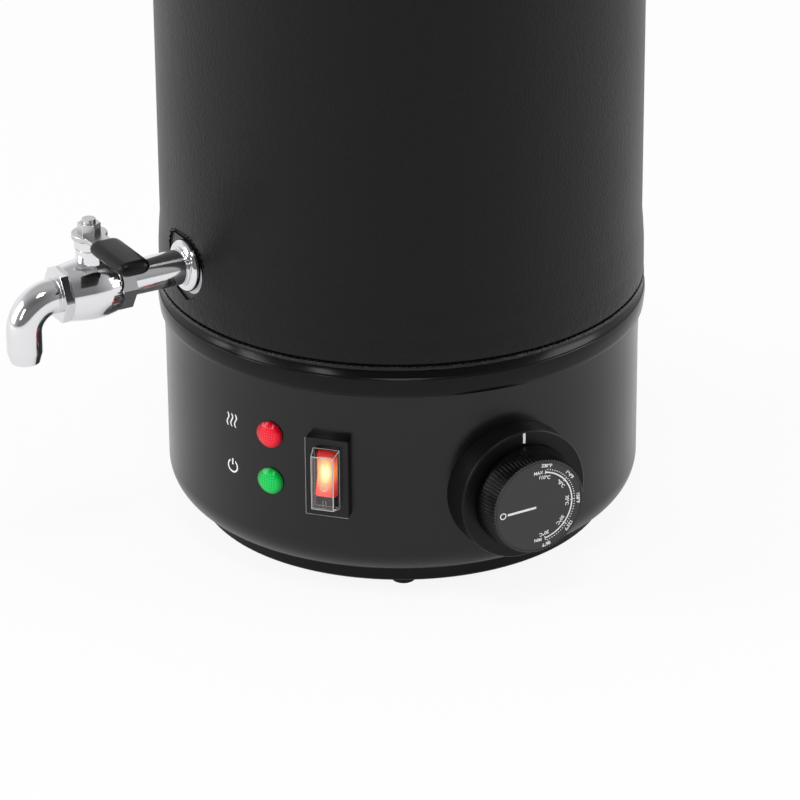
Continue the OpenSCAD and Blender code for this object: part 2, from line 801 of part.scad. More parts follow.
// The lever lies across the spout when the valve is closed
module lever()
    color([0.8, 0.8, 0.82]) on_wall(spout_az, spout_z) translate([0, 0, valve_d])
        rotate([-90, 0, 0]) difference() {
            union() {
                rod(8, lever_low - 1, lever_low + 1.5);
                translate([0, -5, lever_low - 1]) cube([50, 10, 2.5]);
            }
            rod(stem_r + run, 20, 30);
        }

module lever_grip()
    color([0.06, 0.06, 0.06]) on_wall(spout_az, spout_z) translate([0, 0, valve_d])
        rotate([-90, 0, 0]) difference() {
            hull() for (x = [17, 51], y = [-3, 3]) translate([x, y, lever_low + 0.25])
                scale([1, 1, 0.75]) sphere(4.6, $fn = 24);
            translate([0, -5 - run, lever_low - 1 - run]) cube([50 + run, 10 + 2 * run, 2.5 + 2 * run]);
        }

module lever_nut()
    color("silver") on_wall(spout_az, spout_z) translate([0, 0, valve_d])
        rotate([-90, 0, 0]) difference() {
            hex_bar(9, lever_low + 1.5, lever_low + 6);
            rod(stem_r + run, 20, 40);
        }

// --- Lid ---

module lid_glass()
    color([0.8, 0.9, 0.9, 0.3]) difference() {
        intersection() {
            translate([0, 0, dome_top - glass_t - dome_r]) difference() {
                sphere(dome_r + glass_t);
                sphere(dome_r);
            }
            rod(glass_r, glass_low, dome_top + 1);
        }
        rod(knob_screw_r + screw_gap, glass_low, dome_top + 1);
        translate([0, vent_d, 0]) rod(3 + run, glass_low, dome_top + 1);
    }

module lid_band()
    color([0.8, 0.8, 0.82]) rotate_extrude() polygon(concat(
        [[pot_r - 2, rim_z - 6], [pot_r - 1, rim_z - 6], [pot_r - 1, band_low],
         [glass_r + 1.6, band_low]],
        arc(glass_r + 0.9, glass_low + 3.6, 2, -20, 70, 5),
        [[glass_r - 3, glass_low + 6.4], [glass_r - 3, glass_low + 5.6],
         [glass_r + 0.2, glass_low + 5], [glass_r + 0.2, glass_low],
         [pot_r - 2, glass_low]]));

module lid_vent()
    color("silver") translate([0, vent_d, 0]) {
        tube(3, 1.5, dome_top - 10.6, dome_top - 3);
        tube(5, 1.5, dome_top - 4, dome_top - 2.8);
        tube(4.4, 1.5, dome_top - 10.6, dome_top - 9.8);
    }

module lid_knob()
    color([0.05, 0.05, 0.05]) translate([0, 0, dome_top + 1]) difference() {
        rotate_extrude() polygon(concat(
            [[0, 0], [11, 0], [11, 2], [7.5, 8], [8.5, 13]],
            arc(lid_knob_r - 4, 18, 4, -50, 60, 6),
            [[8, 24.6], [0, 25.2]]));
        rod(knob_screw_r + run, -1, 14);
    }

module lid_knob_screw()
    color("silver") cap_screw(knob_screw_r, 4.5, 2.2, dome_top - glass_t - 1.1, dome_top + 13);

module lid_washers()
    color([0.3, 0.3, 0.3]) {
        tube(9, knob_screw_r + screw_gap, dome_top, dome_top + 1);
        tube(7, knob_screw_r + screw_gap, dome_top - glass_t - 1.1, dome_top - glass_t - 0.1);
    }

base_housing();
shoulder_ring();
bottom_plate();
rubber_feet();
foot_screws();
outer_shell();
shell_screws();
leather_jacket();
hem_band();
top_ring();
insulation_sleeve();
heat_shield();
inner_pot();
heater_plate();
heater_clamp();
heater_nut();
thermostat_body();
thermostat_bulb();
bulb_clip();
thermal_cutout();
terminal_block();
thermostat_screws();
knob_bezel();
thermostat_shaft();
control_knob();
knob_face();
switch_housing();
switch_terminals();
rocker();
rocker_cover();
heating_lamp_lens();
standby_lamp_lens();
lamp_bodies();
lamp_nuts();
gland_body();
gland_cap();
gland_nut();
spout_pipe();
spout_gaskets();
spout_locknut();
spout_washer();
spout_collar();
valve_body();
outlet_nozzle();
valve_seats();
valve_ball();
valve_stem();
packing_nut();
lever();
lever_grip();
lever_nut();
lid_glass();
lid_band();
lid_vent();
lid_knob();
lid_knob_screw();
lid_washers();
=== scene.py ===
import json
import math

import bmesh
import bpy
from mathutils import Matrix, Vector, noise

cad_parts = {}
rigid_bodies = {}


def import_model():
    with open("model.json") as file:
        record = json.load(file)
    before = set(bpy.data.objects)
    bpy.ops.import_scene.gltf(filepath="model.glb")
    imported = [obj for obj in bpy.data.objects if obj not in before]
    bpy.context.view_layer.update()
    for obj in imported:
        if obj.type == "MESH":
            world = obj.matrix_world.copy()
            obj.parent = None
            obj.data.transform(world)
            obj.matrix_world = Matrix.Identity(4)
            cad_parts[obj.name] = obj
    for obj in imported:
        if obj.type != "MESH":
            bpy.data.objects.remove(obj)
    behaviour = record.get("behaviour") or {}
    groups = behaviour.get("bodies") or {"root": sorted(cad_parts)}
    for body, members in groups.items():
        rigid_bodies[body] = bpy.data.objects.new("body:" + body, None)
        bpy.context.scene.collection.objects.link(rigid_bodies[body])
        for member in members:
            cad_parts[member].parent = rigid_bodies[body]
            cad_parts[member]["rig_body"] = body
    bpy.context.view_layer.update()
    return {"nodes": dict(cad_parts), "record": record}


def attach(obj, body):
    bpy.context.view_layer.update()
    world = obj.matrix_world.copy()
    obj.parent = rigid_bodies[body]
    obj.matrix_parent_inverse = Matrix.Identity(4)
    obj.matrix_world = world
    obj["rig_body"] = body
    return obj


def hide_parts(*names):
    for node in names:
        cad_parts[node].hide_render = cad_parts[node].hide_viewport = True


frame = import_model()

# A wax melting pot: a stitched leather jacket on a low black base with a thermostat knob,
# a lit switch and two lamps, a chrome tap at the left and a glass lid.
nodes = frame["nodes"]
NODE_SLOT = {part["node"]: part["material_slot"] for part in frame["record"]["subparts"]}
MATERIAL = {}
MM = 0.001

# Sizes in millimetres and places round the wall in degrees, as the CAD has them
BASE_R = 109.0
BASE_LOW = 11.0
BASE_TOP = 103.0
SHEET = 1.2
RING_TOP = 112.8
JACKET_R = 110.0
SHELL_R = 108.3
HEM_TOP = 118.3
JACKET_TOP = 298.0
RIM_Z = 302.0
KNOB_AZ = 26.7
KNOB_Z = 53.3
KNOB_FACE = 133.5
BEZEL_R = 30.7
BEZEL_FACE = 119.5
SWITCH_AZ = -17.3
SWITCH_Z = 62.7
SWITCH_FACE = 113.5
ROCKER_PIVOT = 110.5
ROCKER_LEAN = 10
LAMP_AZ = -32.3
HEATING_Z = 77.1
STANDBY_Z = 54.2
SPOUT_AZ = -60.0
SPOUT_Z = 143.0
PIPE_R = 8.0
CAD_WASHER_R = 13.2

# Sizes that follow the photograph more closely than the CAD does
BASE_CORNER = 16.7
BASE_FLARE = 0.75
RING_R = 111.9
HEM_LOW = 115.7
ROCKER_UP = 1.9
ROCKER_REACH = 11.4
ROCKER_HALF = 3.8
SIGN_AZ = -44.5
SKIRT_R = 24.0
WASHER_R = 12.6
COLLAR_R = 11.9

# The photographer's camera: its place in metres, its turns in degrees, its lens in millimetres
CAMERA_PLACE = (0, -1.89585, 0.9445)
CAMERA_DOWN = 25.27
CAMERA_TURN = 0.033
CAMERA_ROLL = -0.42
CAMERA_LENS = 202.5


# ---------------------------------------------------------------- small tools

def add_object(name, data):
    """A new object in the scene, at the origin."""
    obj = bpy.data.objects.new(name, data)
    bpy.context.scene.collection.objects.link(obj)
    return obj


def mesh_from(name, bm):
    """Turns a bmesh into a mesh and frees it."""
    mesh = bpy.data.meshes.new(name)
    bm.to_mesh(mesh)
    bm.free()
    return mesh


def turned(angle, axis):
    """A turn of so many degrees about an axis."""
    return Matrix.Rotation(math.radians(angle), 4, axis)


def shifted(x, y, z):
    """A move of so many millimetres."""
    return Matrix.Translation(Vector((x, y, z)) * MM)


def wall_point(azimuth, distance, height):
    """A point at a place round the wall, a distance from the pot's axis and a height."""
    a = math.radians(azimuth)
    return Vector((distance * math.sin(a), -distance * math.cos(a), height)) * MM


def wall_matrix(azimuth, distance, height):
    """From wall coordinates (right, up, outward) at a point on the wall to the row frame."""
    a = math.radians(azimuth)
    turn = Matrix(((math.cos(a), 0, math.sin(a)), (math.sin(a), 0, -math.cos(a)), (0, 1, 0))).to_4x4()
    return Matrix.Translation(wall_point(azimuth, distance, height)) @ turn


def tone(color, by=1.0, more=0.0):
    """A colour with alpha from three shares or one grey, made darker or lighter."""
    shares = color if isinstance(color, tuple) else (color,) * 3
    return (*[min(1.0, share * by + more) for share in shares], 1)


# ---------------------------------------------------------------- shader nodes

def fill(socket, value):
    """Gives a socket a value, or links another node's output to it."""
    if isinstance(value, bpy.types.NodeSocket):
        socket.id_data.links.new(value, socket)
    else:
        socket.default_value = value


def wire(node, **inputs):
    """Fills a node's inputs, whose labels are written with _ for a space."""
    for label, value in inputs.items():
        fill(node.inputs[label.replace("_", " ")], value)


def add_node(tree, kind, settings=None, **inputs):
    """A shader node with its settings and inputs."""
    node = tree.nodes.new("ShaderNode" + kind)
    for label, value in (settings or {}).items():
        setattr(node, label, value)
    wire(node, **inputs)
    return node


def add_math(tree, kind, *values):
    node = add_node(tree, "Math", {"operation": kind})
    for socket, value in zip(node.inputs, values):
        fill(socket, value)
    return node.outputs[0]


def times(tree, a, b):
    return add_math(tree, "MULTIPLY", a, b)


def plus(tree, a, b):
    return add_math(tree, "ADD", a, b)


def minus(tree, a, b):
    return add_math(tree, "SUBTRACT", a, b)


def add_length(tree, a, b):
    """The length of two sides of a right angle taken together."""
    return add_math(tree, "SQRT", plus(tree, times(tree, a, a), times(tree, b, b)))


def object_place(tree):
    return add_node(tree, "TexCoord").outputs["Object"]


def add_split(tree, vector):
    """The X, Y and Z of a vector."""
    return add_node(tree, "SeparateXYZ", Vector=vector).outputs


def stretched(tree, stretch=(1, 1, 1)):
    """Object coordinates, stretched along the axes."""
    return add_node(tree, "Mapping", Vector=object_place(tree), Scale=stretch).outputs["Vector"]


def add_noise(tree, vector, scale, detail=4.0):
    node = add_node(tree, "TexNoise", Vector=vector, Scale=scale, Detail=detail, Roughness=0.55)
    return node.outputs["Fac"]


def add_range(tree, value, low, high, to_low=0.0, to_high=1.0, step="LINEAR"):
    node = add_node(tree, "MapRange", {"interpolation_type": step}, Value=value, From_Min=low, From_Max=high,
                    To_Min=to_low, To_Max=to_high)
    return node.outputs["Result"]


def add_mix(tree, share, first, second):
    node = add_node(tree, "Mix", {"data_type": "RGBA"})
    for at, value in ((0, share), (6, first), (7, second)):
        fill(node.inputs[at], value)
    return node.outputs[2]


def add_bump(tree, height, strength, distance, **under):
    node = add_node(tree, "Bump", Height=height, Strength=strength, Distance=distance, **under)
    return node.outputs["Normal"]


def add_shader_mix(tree, share, first, second):
    node = add_node(tree, "MixShader", Fac=share)
    fill(node.inputs[1], first.outputs[0])
    fill(node.inputs[2], second.outputs[0])
    return node.outputs[0]


def new_material(name, **inputs):
    """Keeps a new material by its name and returns its node tree and its shader."""
    MATERIAL[name] = bpy.data.materials.new(name)
    MATERIAL[name].use_nodes = True
    tree = MATERIAL[name].node_tree
    shader = tree.nodes["Principled BSDF"]
    wire(shader, **inputs)
    return tree, shader


# ---------------------------------------------------------------- camera and light

def look_camera():
    """The camera stands where the photographer's did, 1.9 m in front and looking 25 degrees down."""
    data = bpy.data.cameras.new("camera")
    data.lens = CAMERA_LENS
    data.sensor_width = 36
    data.clip_end = 50
    camera = add_object("camera", data)
    turn = turned(CAMERA_TURN, "Z") @ turned(90 - CAMERA_DOWN, "X") @ turned(CAMERA_ROLL, "Z")
    camera.matrix_world = Matrix.Translation(CAMERA_PLACE) @ turn
    bpy.context.scene.camera = camera


def softbox(name, place, target_z, width, height, watts):
    """A soft lamp that looks at the pot's axis."""
    data = bpy.data.lights.new(name, "AREA")
    data.shape = "RECTANGLE"
    data.size = width
    data.size_y = height
    data.energy = watts
    lamp = add_object(name, data)
    lamp.location = place
    way = Vector((0, 0, target_z)) - Vector(place)
    lamp.rotation_euler = way.to_track_quat("-Z", "Y").to_euler()


def studio():
    """White for the camera; for the object, bright at the sides and behind, dimmer in front and above."""
    world = bpy.data.worlds.new("studio")
    bpy.context.scene.world = world
    world.use_nodes = True
    tree = world.node_tree
    tree.nodes.clear()
    way = add_split(tree, add_node(tree, "TexCoord").outputs["Generated"])
    depth = add_range(tree, way["Y"], -0.85, 0.1, 0.2, 1.0, "SMOOTHSTEP")
    above = add_range(tree, way["Z"], 0.3, 0.85, 1.0, 0.5, "SMOOTHSTEP")
    room = add_node(tree, "Background", Color=tone(1.0), Strength=times(tree, depth, above))
    white = add_node(tree, "Background", Color=tone(1.0), Strength=1)
    seen = add_node(tree, "LightPath").outputs["Is Camera Ray"]
    add_node(tree, "OutputWorld", Surface=add_shader_mix(tree, seen, room, white))
    # place in metres, height looked at, width, height, watts
    softbox("softbox_left", (-2.0, -0.35, 0.9), 0.15, 1.0, 1.4, 26)
    softbox("softbox_right", (2.0, -0.25, 0.8), 0.12, 1.0, 1.2, 18)
    softbox("softbox_front", (-1.5, -2.0, 1.15), 0.1, 0.35, 0.9, 8)
    softbox("softbox_top", (0.0, -0.95, 1.9), 0.1, 0.5, 0.4, 10)


def pale_floor():
    """White paper that looks bright to the camera; in the object's gloss its glow is dimmed near the pot's
    foot, a painted contact shadow.
    """
    bm = bmesh.new()
    bmesh.ops.create_grid(bm, x_segments=1, y_segments=1, size=6)
    floor = add_object("floor", mesh_from("floor", bm))
    tree, shader = new_material("floor_paper", Base_Color=tone(0.86), Roughness=0.9)
    glow = add_node(tree, "Emission", Strength=1)
    ray = add_node(tree, "LightPath").outputs
    away = add_node(tree, "VectorMath", {"operation": "LENGTH"}, Vector=object_place(tree)).outputs["Value"]
    # The floor's glow seen in reflections fades near the pot: a painted contact shadow.
    reflected_glow_with_painted_shadow = add_range(tree, away, 0.095, 0.165, 0.2, 0.6, "SMOOTHSTEP")
    share = add_math(tree, "MAXIMUM", times(tree, ray["Is Camera Ray"], 0.9),
                     times(tree, ray["Is Glossy Ray"], reflected_glow_with_painted_shadow))
    wire(tree.nodes["Material Output"], Surface=add_shader_mix(tree, share, shader, glow))
    floor.data.materials.append(MATERIAL["floor_paper"])


# ---------------------------------------------------------------- shared surface effects

GREY = (0.5, 0.5, 0.5, 1)


def effect(name, inputs, **outputs):
    """A node group with the given sockets: the group, what it is given, and its end."""
    group = bpy.data.node_groups.new(name, "ShaderNodeTree")
    for label, value in inputs.items():
        kind = "NodeSocketColor" if isinstance(value, tuple) else "NodeSocketFloat"
        group.interface.new_socket(name=label, in_out="INPUT", socket_type=kind).default_value = value
    for label, kind in outputs.items():
        group.interface.new_socket(name=label, in_out="OUTPUT", socket_type="NodeSocket" + kind)
    start = group.nodes.new("NodeGroupInput")
    end = group.nodes.new("NodeGroupOutput")
    return group, start.outputs, end


def make_finish_variation():
    """Slow changes of shade and gloss, as a moulding or a coat of paint has."""
    group, given, end = effect("finish_variation",
        {"Color": GREY, "Spread": 0.15, "Scale": 30.0, "Roughness": 0.4, "Gloss Spread": 0.08},
        Color="Color", Roughness="Float")
    where = stretched(group)
    cloud = add_noise(group, where, given["Scale"], 5)
    speck = add_noise(group, where, times(group, given["Scale"], 14.0), 3)
    both = plus(group, times(group, cloud, 0.7), times(group, speck, 0.3))
    centred = times(group, minus(group, both, 0.5), 2.0)
    shade = plus(group, times(group, centred, given["Spread"]), 1.0)
    scaled = add_node(group, "VectorMath", {"operation": "SCALE"}, Vector=given["Color"], Scale=shade)
    gloss = plus(group, times(group, centred, given["Gloss Spread"]), given["Roughness"])
    wire(end, Color=scaled.outputs[0], Roughness=gloss)
    return group


def make_fine_scuffs():
    """Short thin rubs that lighten the colour and dull the gloss a little."""
    group, given, end = effect("fine_scuffs",
        {"Color": GREY, "Scuff Color": (0.3, 0.3, 0.3, 1), "Roughness": 0.4, "Amount": 0.3},
        Color="Color", Roughness="Float", Mask="Float")
    along = add_noise(group, stretched(group, (60, 60, 900)), 1.0, 2)
    across = add_noise(group, stretched(group, (700, 420, 60)), 1.0, 2)
    patch = add_range(group, add_noise(group, stretched(group), 22.0, 3), 0.5, 0.72)
    lines = add_math(group, "MAXIMUM", add_range(group, along, 0.66, 0.74),
                     add_range(group, across, 0.68, 0.76))
    mask = times(group, times(group, lines, patch), given["Amount"])
    dull = plus(group, given["Roughness"], times(group, mask, 0.25))
    wire(end, Color=add_mix(group, mask, given["Color"], given["Scuff Color"]), Roughness=dull, Mask=mask)
    return group


def make_settled_dust():
    """Fine dust on faces that look up."""
    group, given, end = effect("settled_dust",
        {"Color": GREY, "Dust Color": (0.35, 0.34, 0.32, 1), "Amount": 0.1}, Color="Color", Mask="Float")
    normal = add_split(group, add_node(group, "NewGeometry").outputs["Normal"])
    upward = add_range(group, normal["Z"], 0.45, 1.0)
    grains = add_range(group, add_noise(group, stretched(group), 1600.0, 3), 0.42, 0.7)
    drift = add_noise(group, stretched(group), 40.0, 4)
    mask = times(group, times(group, times(group, upward, grains), drift), given["Amount"])
    wire(end, Color=add_mix(group, mask, given["Color"], given["Dust Color"]), Mask=mask)
    return group


def make_fine_texture():
    """An even fine texture: the skin of powder coat, a moulding or rubber."""
    group, given, end = effect("fine_texture", {"Scale": 900.0, "Depth": 0.1},
        Normal="Vector", Height="Float")
    where = stretched(group)
    small = add_noise(group, where, given["Scale"], 3)
    wide = add_noise(group, where, times(group, given["Scale"], 0.22), 2)
    height = plus(group, small, wide)
    wire(end, Normal=add_bump(group, height, given["Depth"], 0.0004), Height=height)
    return group


def make_leather_grain():
    """Small pebbles drawn out upward, with creases that deepen towards the sewn hem."""
    group, given, end = effect("leather_grain",
        {"Cells": 620.0, "Depth": 0.3, "Crease Depth": 0.5, "Hem Height": HEM_TOP * MM, "Hem Reach": 0.012},
        Normal="Vector", Crease="Float", Pore="Float")
    cells = add_node(group, "TexVoronoi", {"feature": "DISTANCE_TO_EDGE"},
                     Vector=stretched(group, (1, 1, 0.5)), Scale=given["Cells"])
    pebble = add_range(group, cells.outputs["Distance"], 0.0, 0.22)
    drawn = add_noise(group, stretched(group, (1, 1, 0.28)), times(group, given["Cells"], 0.55), 4)
    height = plus(group, times(group, pebble, 0.55), drawn)
    grain = add_bump(group, height, given["Depth"], 0.0005)
    up = add_split(group, object_place(group))["Z"]
    above = add_math(group, "ABSOLUTE", minus(group, up, given["Hem Height"]))
    share = add_math(group, "MINIMUM", add_math(group, "DIVIDE", above, given["Hem Reach"]), 1.0)
    folds = add_noise(group, stretched(group, (1, 1, 1.6)), 210.0, 5)
    pull = add_noise(group, stretched(group, (1, 1, 0.5)), 55.0, 3)
    crease = times(group, plus(group, folds, pull), minus(group, 1.0, share))
    wire(end, Normal=add_bump(group, crease, given["Crease Depth"], 0.0012, Normal=grain), Crease=crease,
         Pore=add_range(group, pebble, 0.55, 0.05))
    return group


def make_turned_lines():
    """Fine lines left by turning or brushing round an upright axis."""
    group, given, end = effect("turned_lines", {"Fineness": 2600.0, "Depth": 0.12, "Roughness": 0.25},
        Normal="Vector", Roughness="Float")
    place = add_split(group, object_place(group))
    radius = add_length(group, place["X"], place["Y"])
    rings = add_node(group, "CombineXYZ", X=times(group, place["X"], 0.01), Y=radius, Z=place["Z"])
    lines = add_noise(group, rings.outputs[0], given["Fineness"], 4)
    spread = times(group, minus(group, lines, 0.5), 0.25)
    wire(end, Normal=add_bump(group, lines, given["Depth"], 0.0002),
         Roughness=plus(group, spread, given["Roughness"]))
    return group


FINISH = make_finish_variation()
SCUFFS = make_fine_scuffs()
DUST = make_settled_dust()
TEXTURE = make_fine_texture()
LEATHER = make_leather_grain()
TURNED = make_turned_lines()


# ---------------------------------------------------------------- materials

def place_effect(tree, group, **inputs):
    """A shared effect placed in a material, with what it is given."""
    return add_node(tree, "Group", {"node_tree": group}, **inputs).outputs


def surfaced(name, color, roughness, spread=0.12, blotch=28.0, scuff=0.2, scuff_color=None, dust=0.08,
             texture=900.0, depth=0.06, metallic=0.0, specular=0.5, sheen=0.0, gloss_spread=0.08):
    """A finish with slow variation, fine scuffs, a fine skin and a little dust on top."""
    tree, shader = new_material(name, Metallic=metallic, Specular_IOR_Level=specular, Sheen_Weight=sheen)
    MATERIAL[name].diffuse_color = tone(color)
    lighter = tone(scuff_color) if scuff_color else tone(color, 2.2, 0.02)
    vary = place_effect(tree, FINISH, Color=tone(color), Spread=spread, Scale=blotch, Roughness=roughness,
                        Gloss_Spread=gloss_spread)
    rub = place_effect(tree, SCUFFS, Color=vary["Color"], Scuff_Color=lighter, Roughness=vary["Roughness"],
                       Amount=scuff)
    top = place_effect(tree, DUST, Color=rub["Color"], Amount=dust)
    skin = place_effect(tree, TEXTURE, Scale=texture, Depth=depth)
    wire(shader, Base_Color=top["Color"], Roughness=rub["Roughness"], Normal=skin["Normal"])


def leather(name, color, specular, roughness, depth, crease=0.5, reach=0.012):
    """Pebbled leather with dark pores, creased near its hem."""
    tree, shader = new_material(name, Specular_IOR_Level=specular, Sheen_Weight=0.02)
    grain = place_effect(tree, LEATHER, Depth=depth, Crease_Depth=crease, Hem_Reach=reach)
    vary = place_effect(tree, FINISH, Color=tone(color), Spread=0.18, Scale=18.0, Roughness=roughness)
    pores = add_mix(tree, times(tree, grain["Pore"], 0.6), vary["Color"], tone(color, 0.45))
    rub = place_effect(tree, SCUFFS, Color=pores, Scuff_Color=tone(color, 2.5), Roughness=vary["Roughness"],
                       Amount=0.12)
    wire(shader, Base_Color=rub["Color"], Roughness=rub["Roughness"], Normal=grain["Normal"])


def turned_metal(name, color, roughness):
    """Bare metal with the fine lines of its turning."""
    tree, shader = new_material(name, Metallic=1.0)
    lines = place_effect(tree, TURNED, Roughness=roughness)
    vary = place_effect(tree, FINISH, Color=tone(color), Spread=0.06, Scale=25.0, Roughness=roughness)
    rub = place_effect(tree, SCUFFS, Color=vary["Color"], Scuff_Color=tone(color, 0.75),
                       Roughness=lines["Roughness"], Amount=0.25)
    wire(shader, Base_Color=rub["Color"], Roughness=rub["Roughness"], Normal=lines["Normal"])


def clear(name, color, ior, roughness):
    """Glass or clear plastic with a few fine rubs."""
    tree, shader = new_material(name, Transmission_Weight=1.0, IOR=ior)
    vary = place_effect(tree, FINISH, Color=tone(color), Spread=0.02, Roughness=roughness, Gloss_Spread=0.02)
    rub = place_effect(tree, SCUFFS, Color=vary["Color"], Scuff_Color=tone(color, 0.9),
                       Roughness=vary["Roughness"], Amount=0.15)
    wire(shader, Base_Color=rub["Color"], Roughness=rub["Roughness"])


def wall_place(tree, azimuth, centre):
    """Coordinates right and up on the wall, measured from a centre."""
    turn = (0, 0, math.radians(azimuth))
    mapping = add_node(tree, "Mapping", {"vector_type": "TEXTURE"}, Vector=object_place(tree),
                       Location=centre, Rotation=turn)
    place = add_split(tree, mapping.outputs["Vector"])
    return place["X"], place["Z"]


def lit_lens(name, color, bright, centre_z, glow):
    """A moulded lens with a pattern of small pyramids on its back and a lamp behind it."""
    tree, shader = new_material(name, Base_Color=tone(color, 0.25), Specular_IOR_Level=0.12, Coat_Weight=0.15,
                                Coat_Roughness=0.04, Emission_Strength=glow)
    across, up = wall_place(tree, LAMP_AZ, wall_point(LAMP_AZ - 0.45, 110.5, centre_z - 0.6))
    away = add_length(tree, across, up)
    rows = [add_math(tree, "MULTIPLY_ADD", add_math(tree, "SINE", times(tree, side, 5300.0)), 0.5, 0.5)
            for side in (across, up)]
    pattern = times(tree, times(tree, *rows), add_range(tree, away, 0.0046, 0.0042))
    rim = times(tree, add_range(tree, away, 0.0044, 0.0048), add_range(tree, away, 0.0054, 0.0050))
    middle = add_range(tree, away, 0.0042, 0.0)
    behind = plus(tree, times(tree, middle, 0.12), times(tree, rim, 0.1))
    light = plus(tree, times(tree, pattern, 0.6), behind)
    glowing = add_mix(tree, light, tone(color), tone(bright))
    outer = add_mix(tree, add_range(tree, away, 0.0046, 0.0062), glowing, tone(color, 0.4))
    vary = place_effect(tree, FINISH, Color=outer, Spread=0.1, Scale=300.0, Roughness=0.12,
                        Gloss_Spread=0.03)
    wire(shader, Roughness=vary["Roughness"], Emission_Color=vary["Color"],
         Normal=add_bump(tree, pattern, 0.3, 0.0003))


def lit_rocker():
    """Red see-through plastic with a lamp behind its upper half."""
    tree, shader = new_material("rocker_red", Coat_Weight=0.3, Coat_Roughness=0.08, Emission_Strength=1.25)
    across, up = wall_place(tree, SWITCH_AZ, wall_point(SWITCH_AZ, ROCKER_PIVOT + 4, SWITCH_Z + 3.6))
    away = add_length(tree, add_math(tree, "DIVIDE", across, 0.0052), add_math(tree, "DIVIDE", up, 0.0098))
    steps = ((0.0, (1.0, 0.96, 0.66)), (0.34, (1.0, 0.78, 0.32)), (0.62, (1.0, 0.36, 0.1)),
             (0.95, (0.66, 0.07, 0.045)), (1.35, (0.36, 0.02, 0.015)))
    reach = steps[-1][0]
    ramp = add_node(tree, "ValToRGB", Fac=add_math(tree, "DIVIDE", away, reach))
    stops = ramp.color_ramp.elements
    stops[0].color = tone(steps[0][1])
    stops[1].color = tone(steps[-1][1])
    for at, color in steps[1:-1]:
        stops.new(at / reach).color = tone(color)
    top_end = add_range(tree, up, 0.0064, 0.0074)
    glow = add_mix(tree, top_end, ramp.outputs["Color"], tone((0.2, 0.006, 0.005)))
    vary = place_effect(tree, FINISH, Color=tone((0.5, 0.02, 0.015)), Spread=0.12, Scale=240.0,
                        Roughness=0.22)
    skin = place_effect(tree, TEXTURE, Scale=1500.0, Depth=0.05)
    wire(shader, Base_Color=vary["Color"], Roughness=vary["Roughness"], Emission_Color=glow,
         Normal=skin["Normal"])


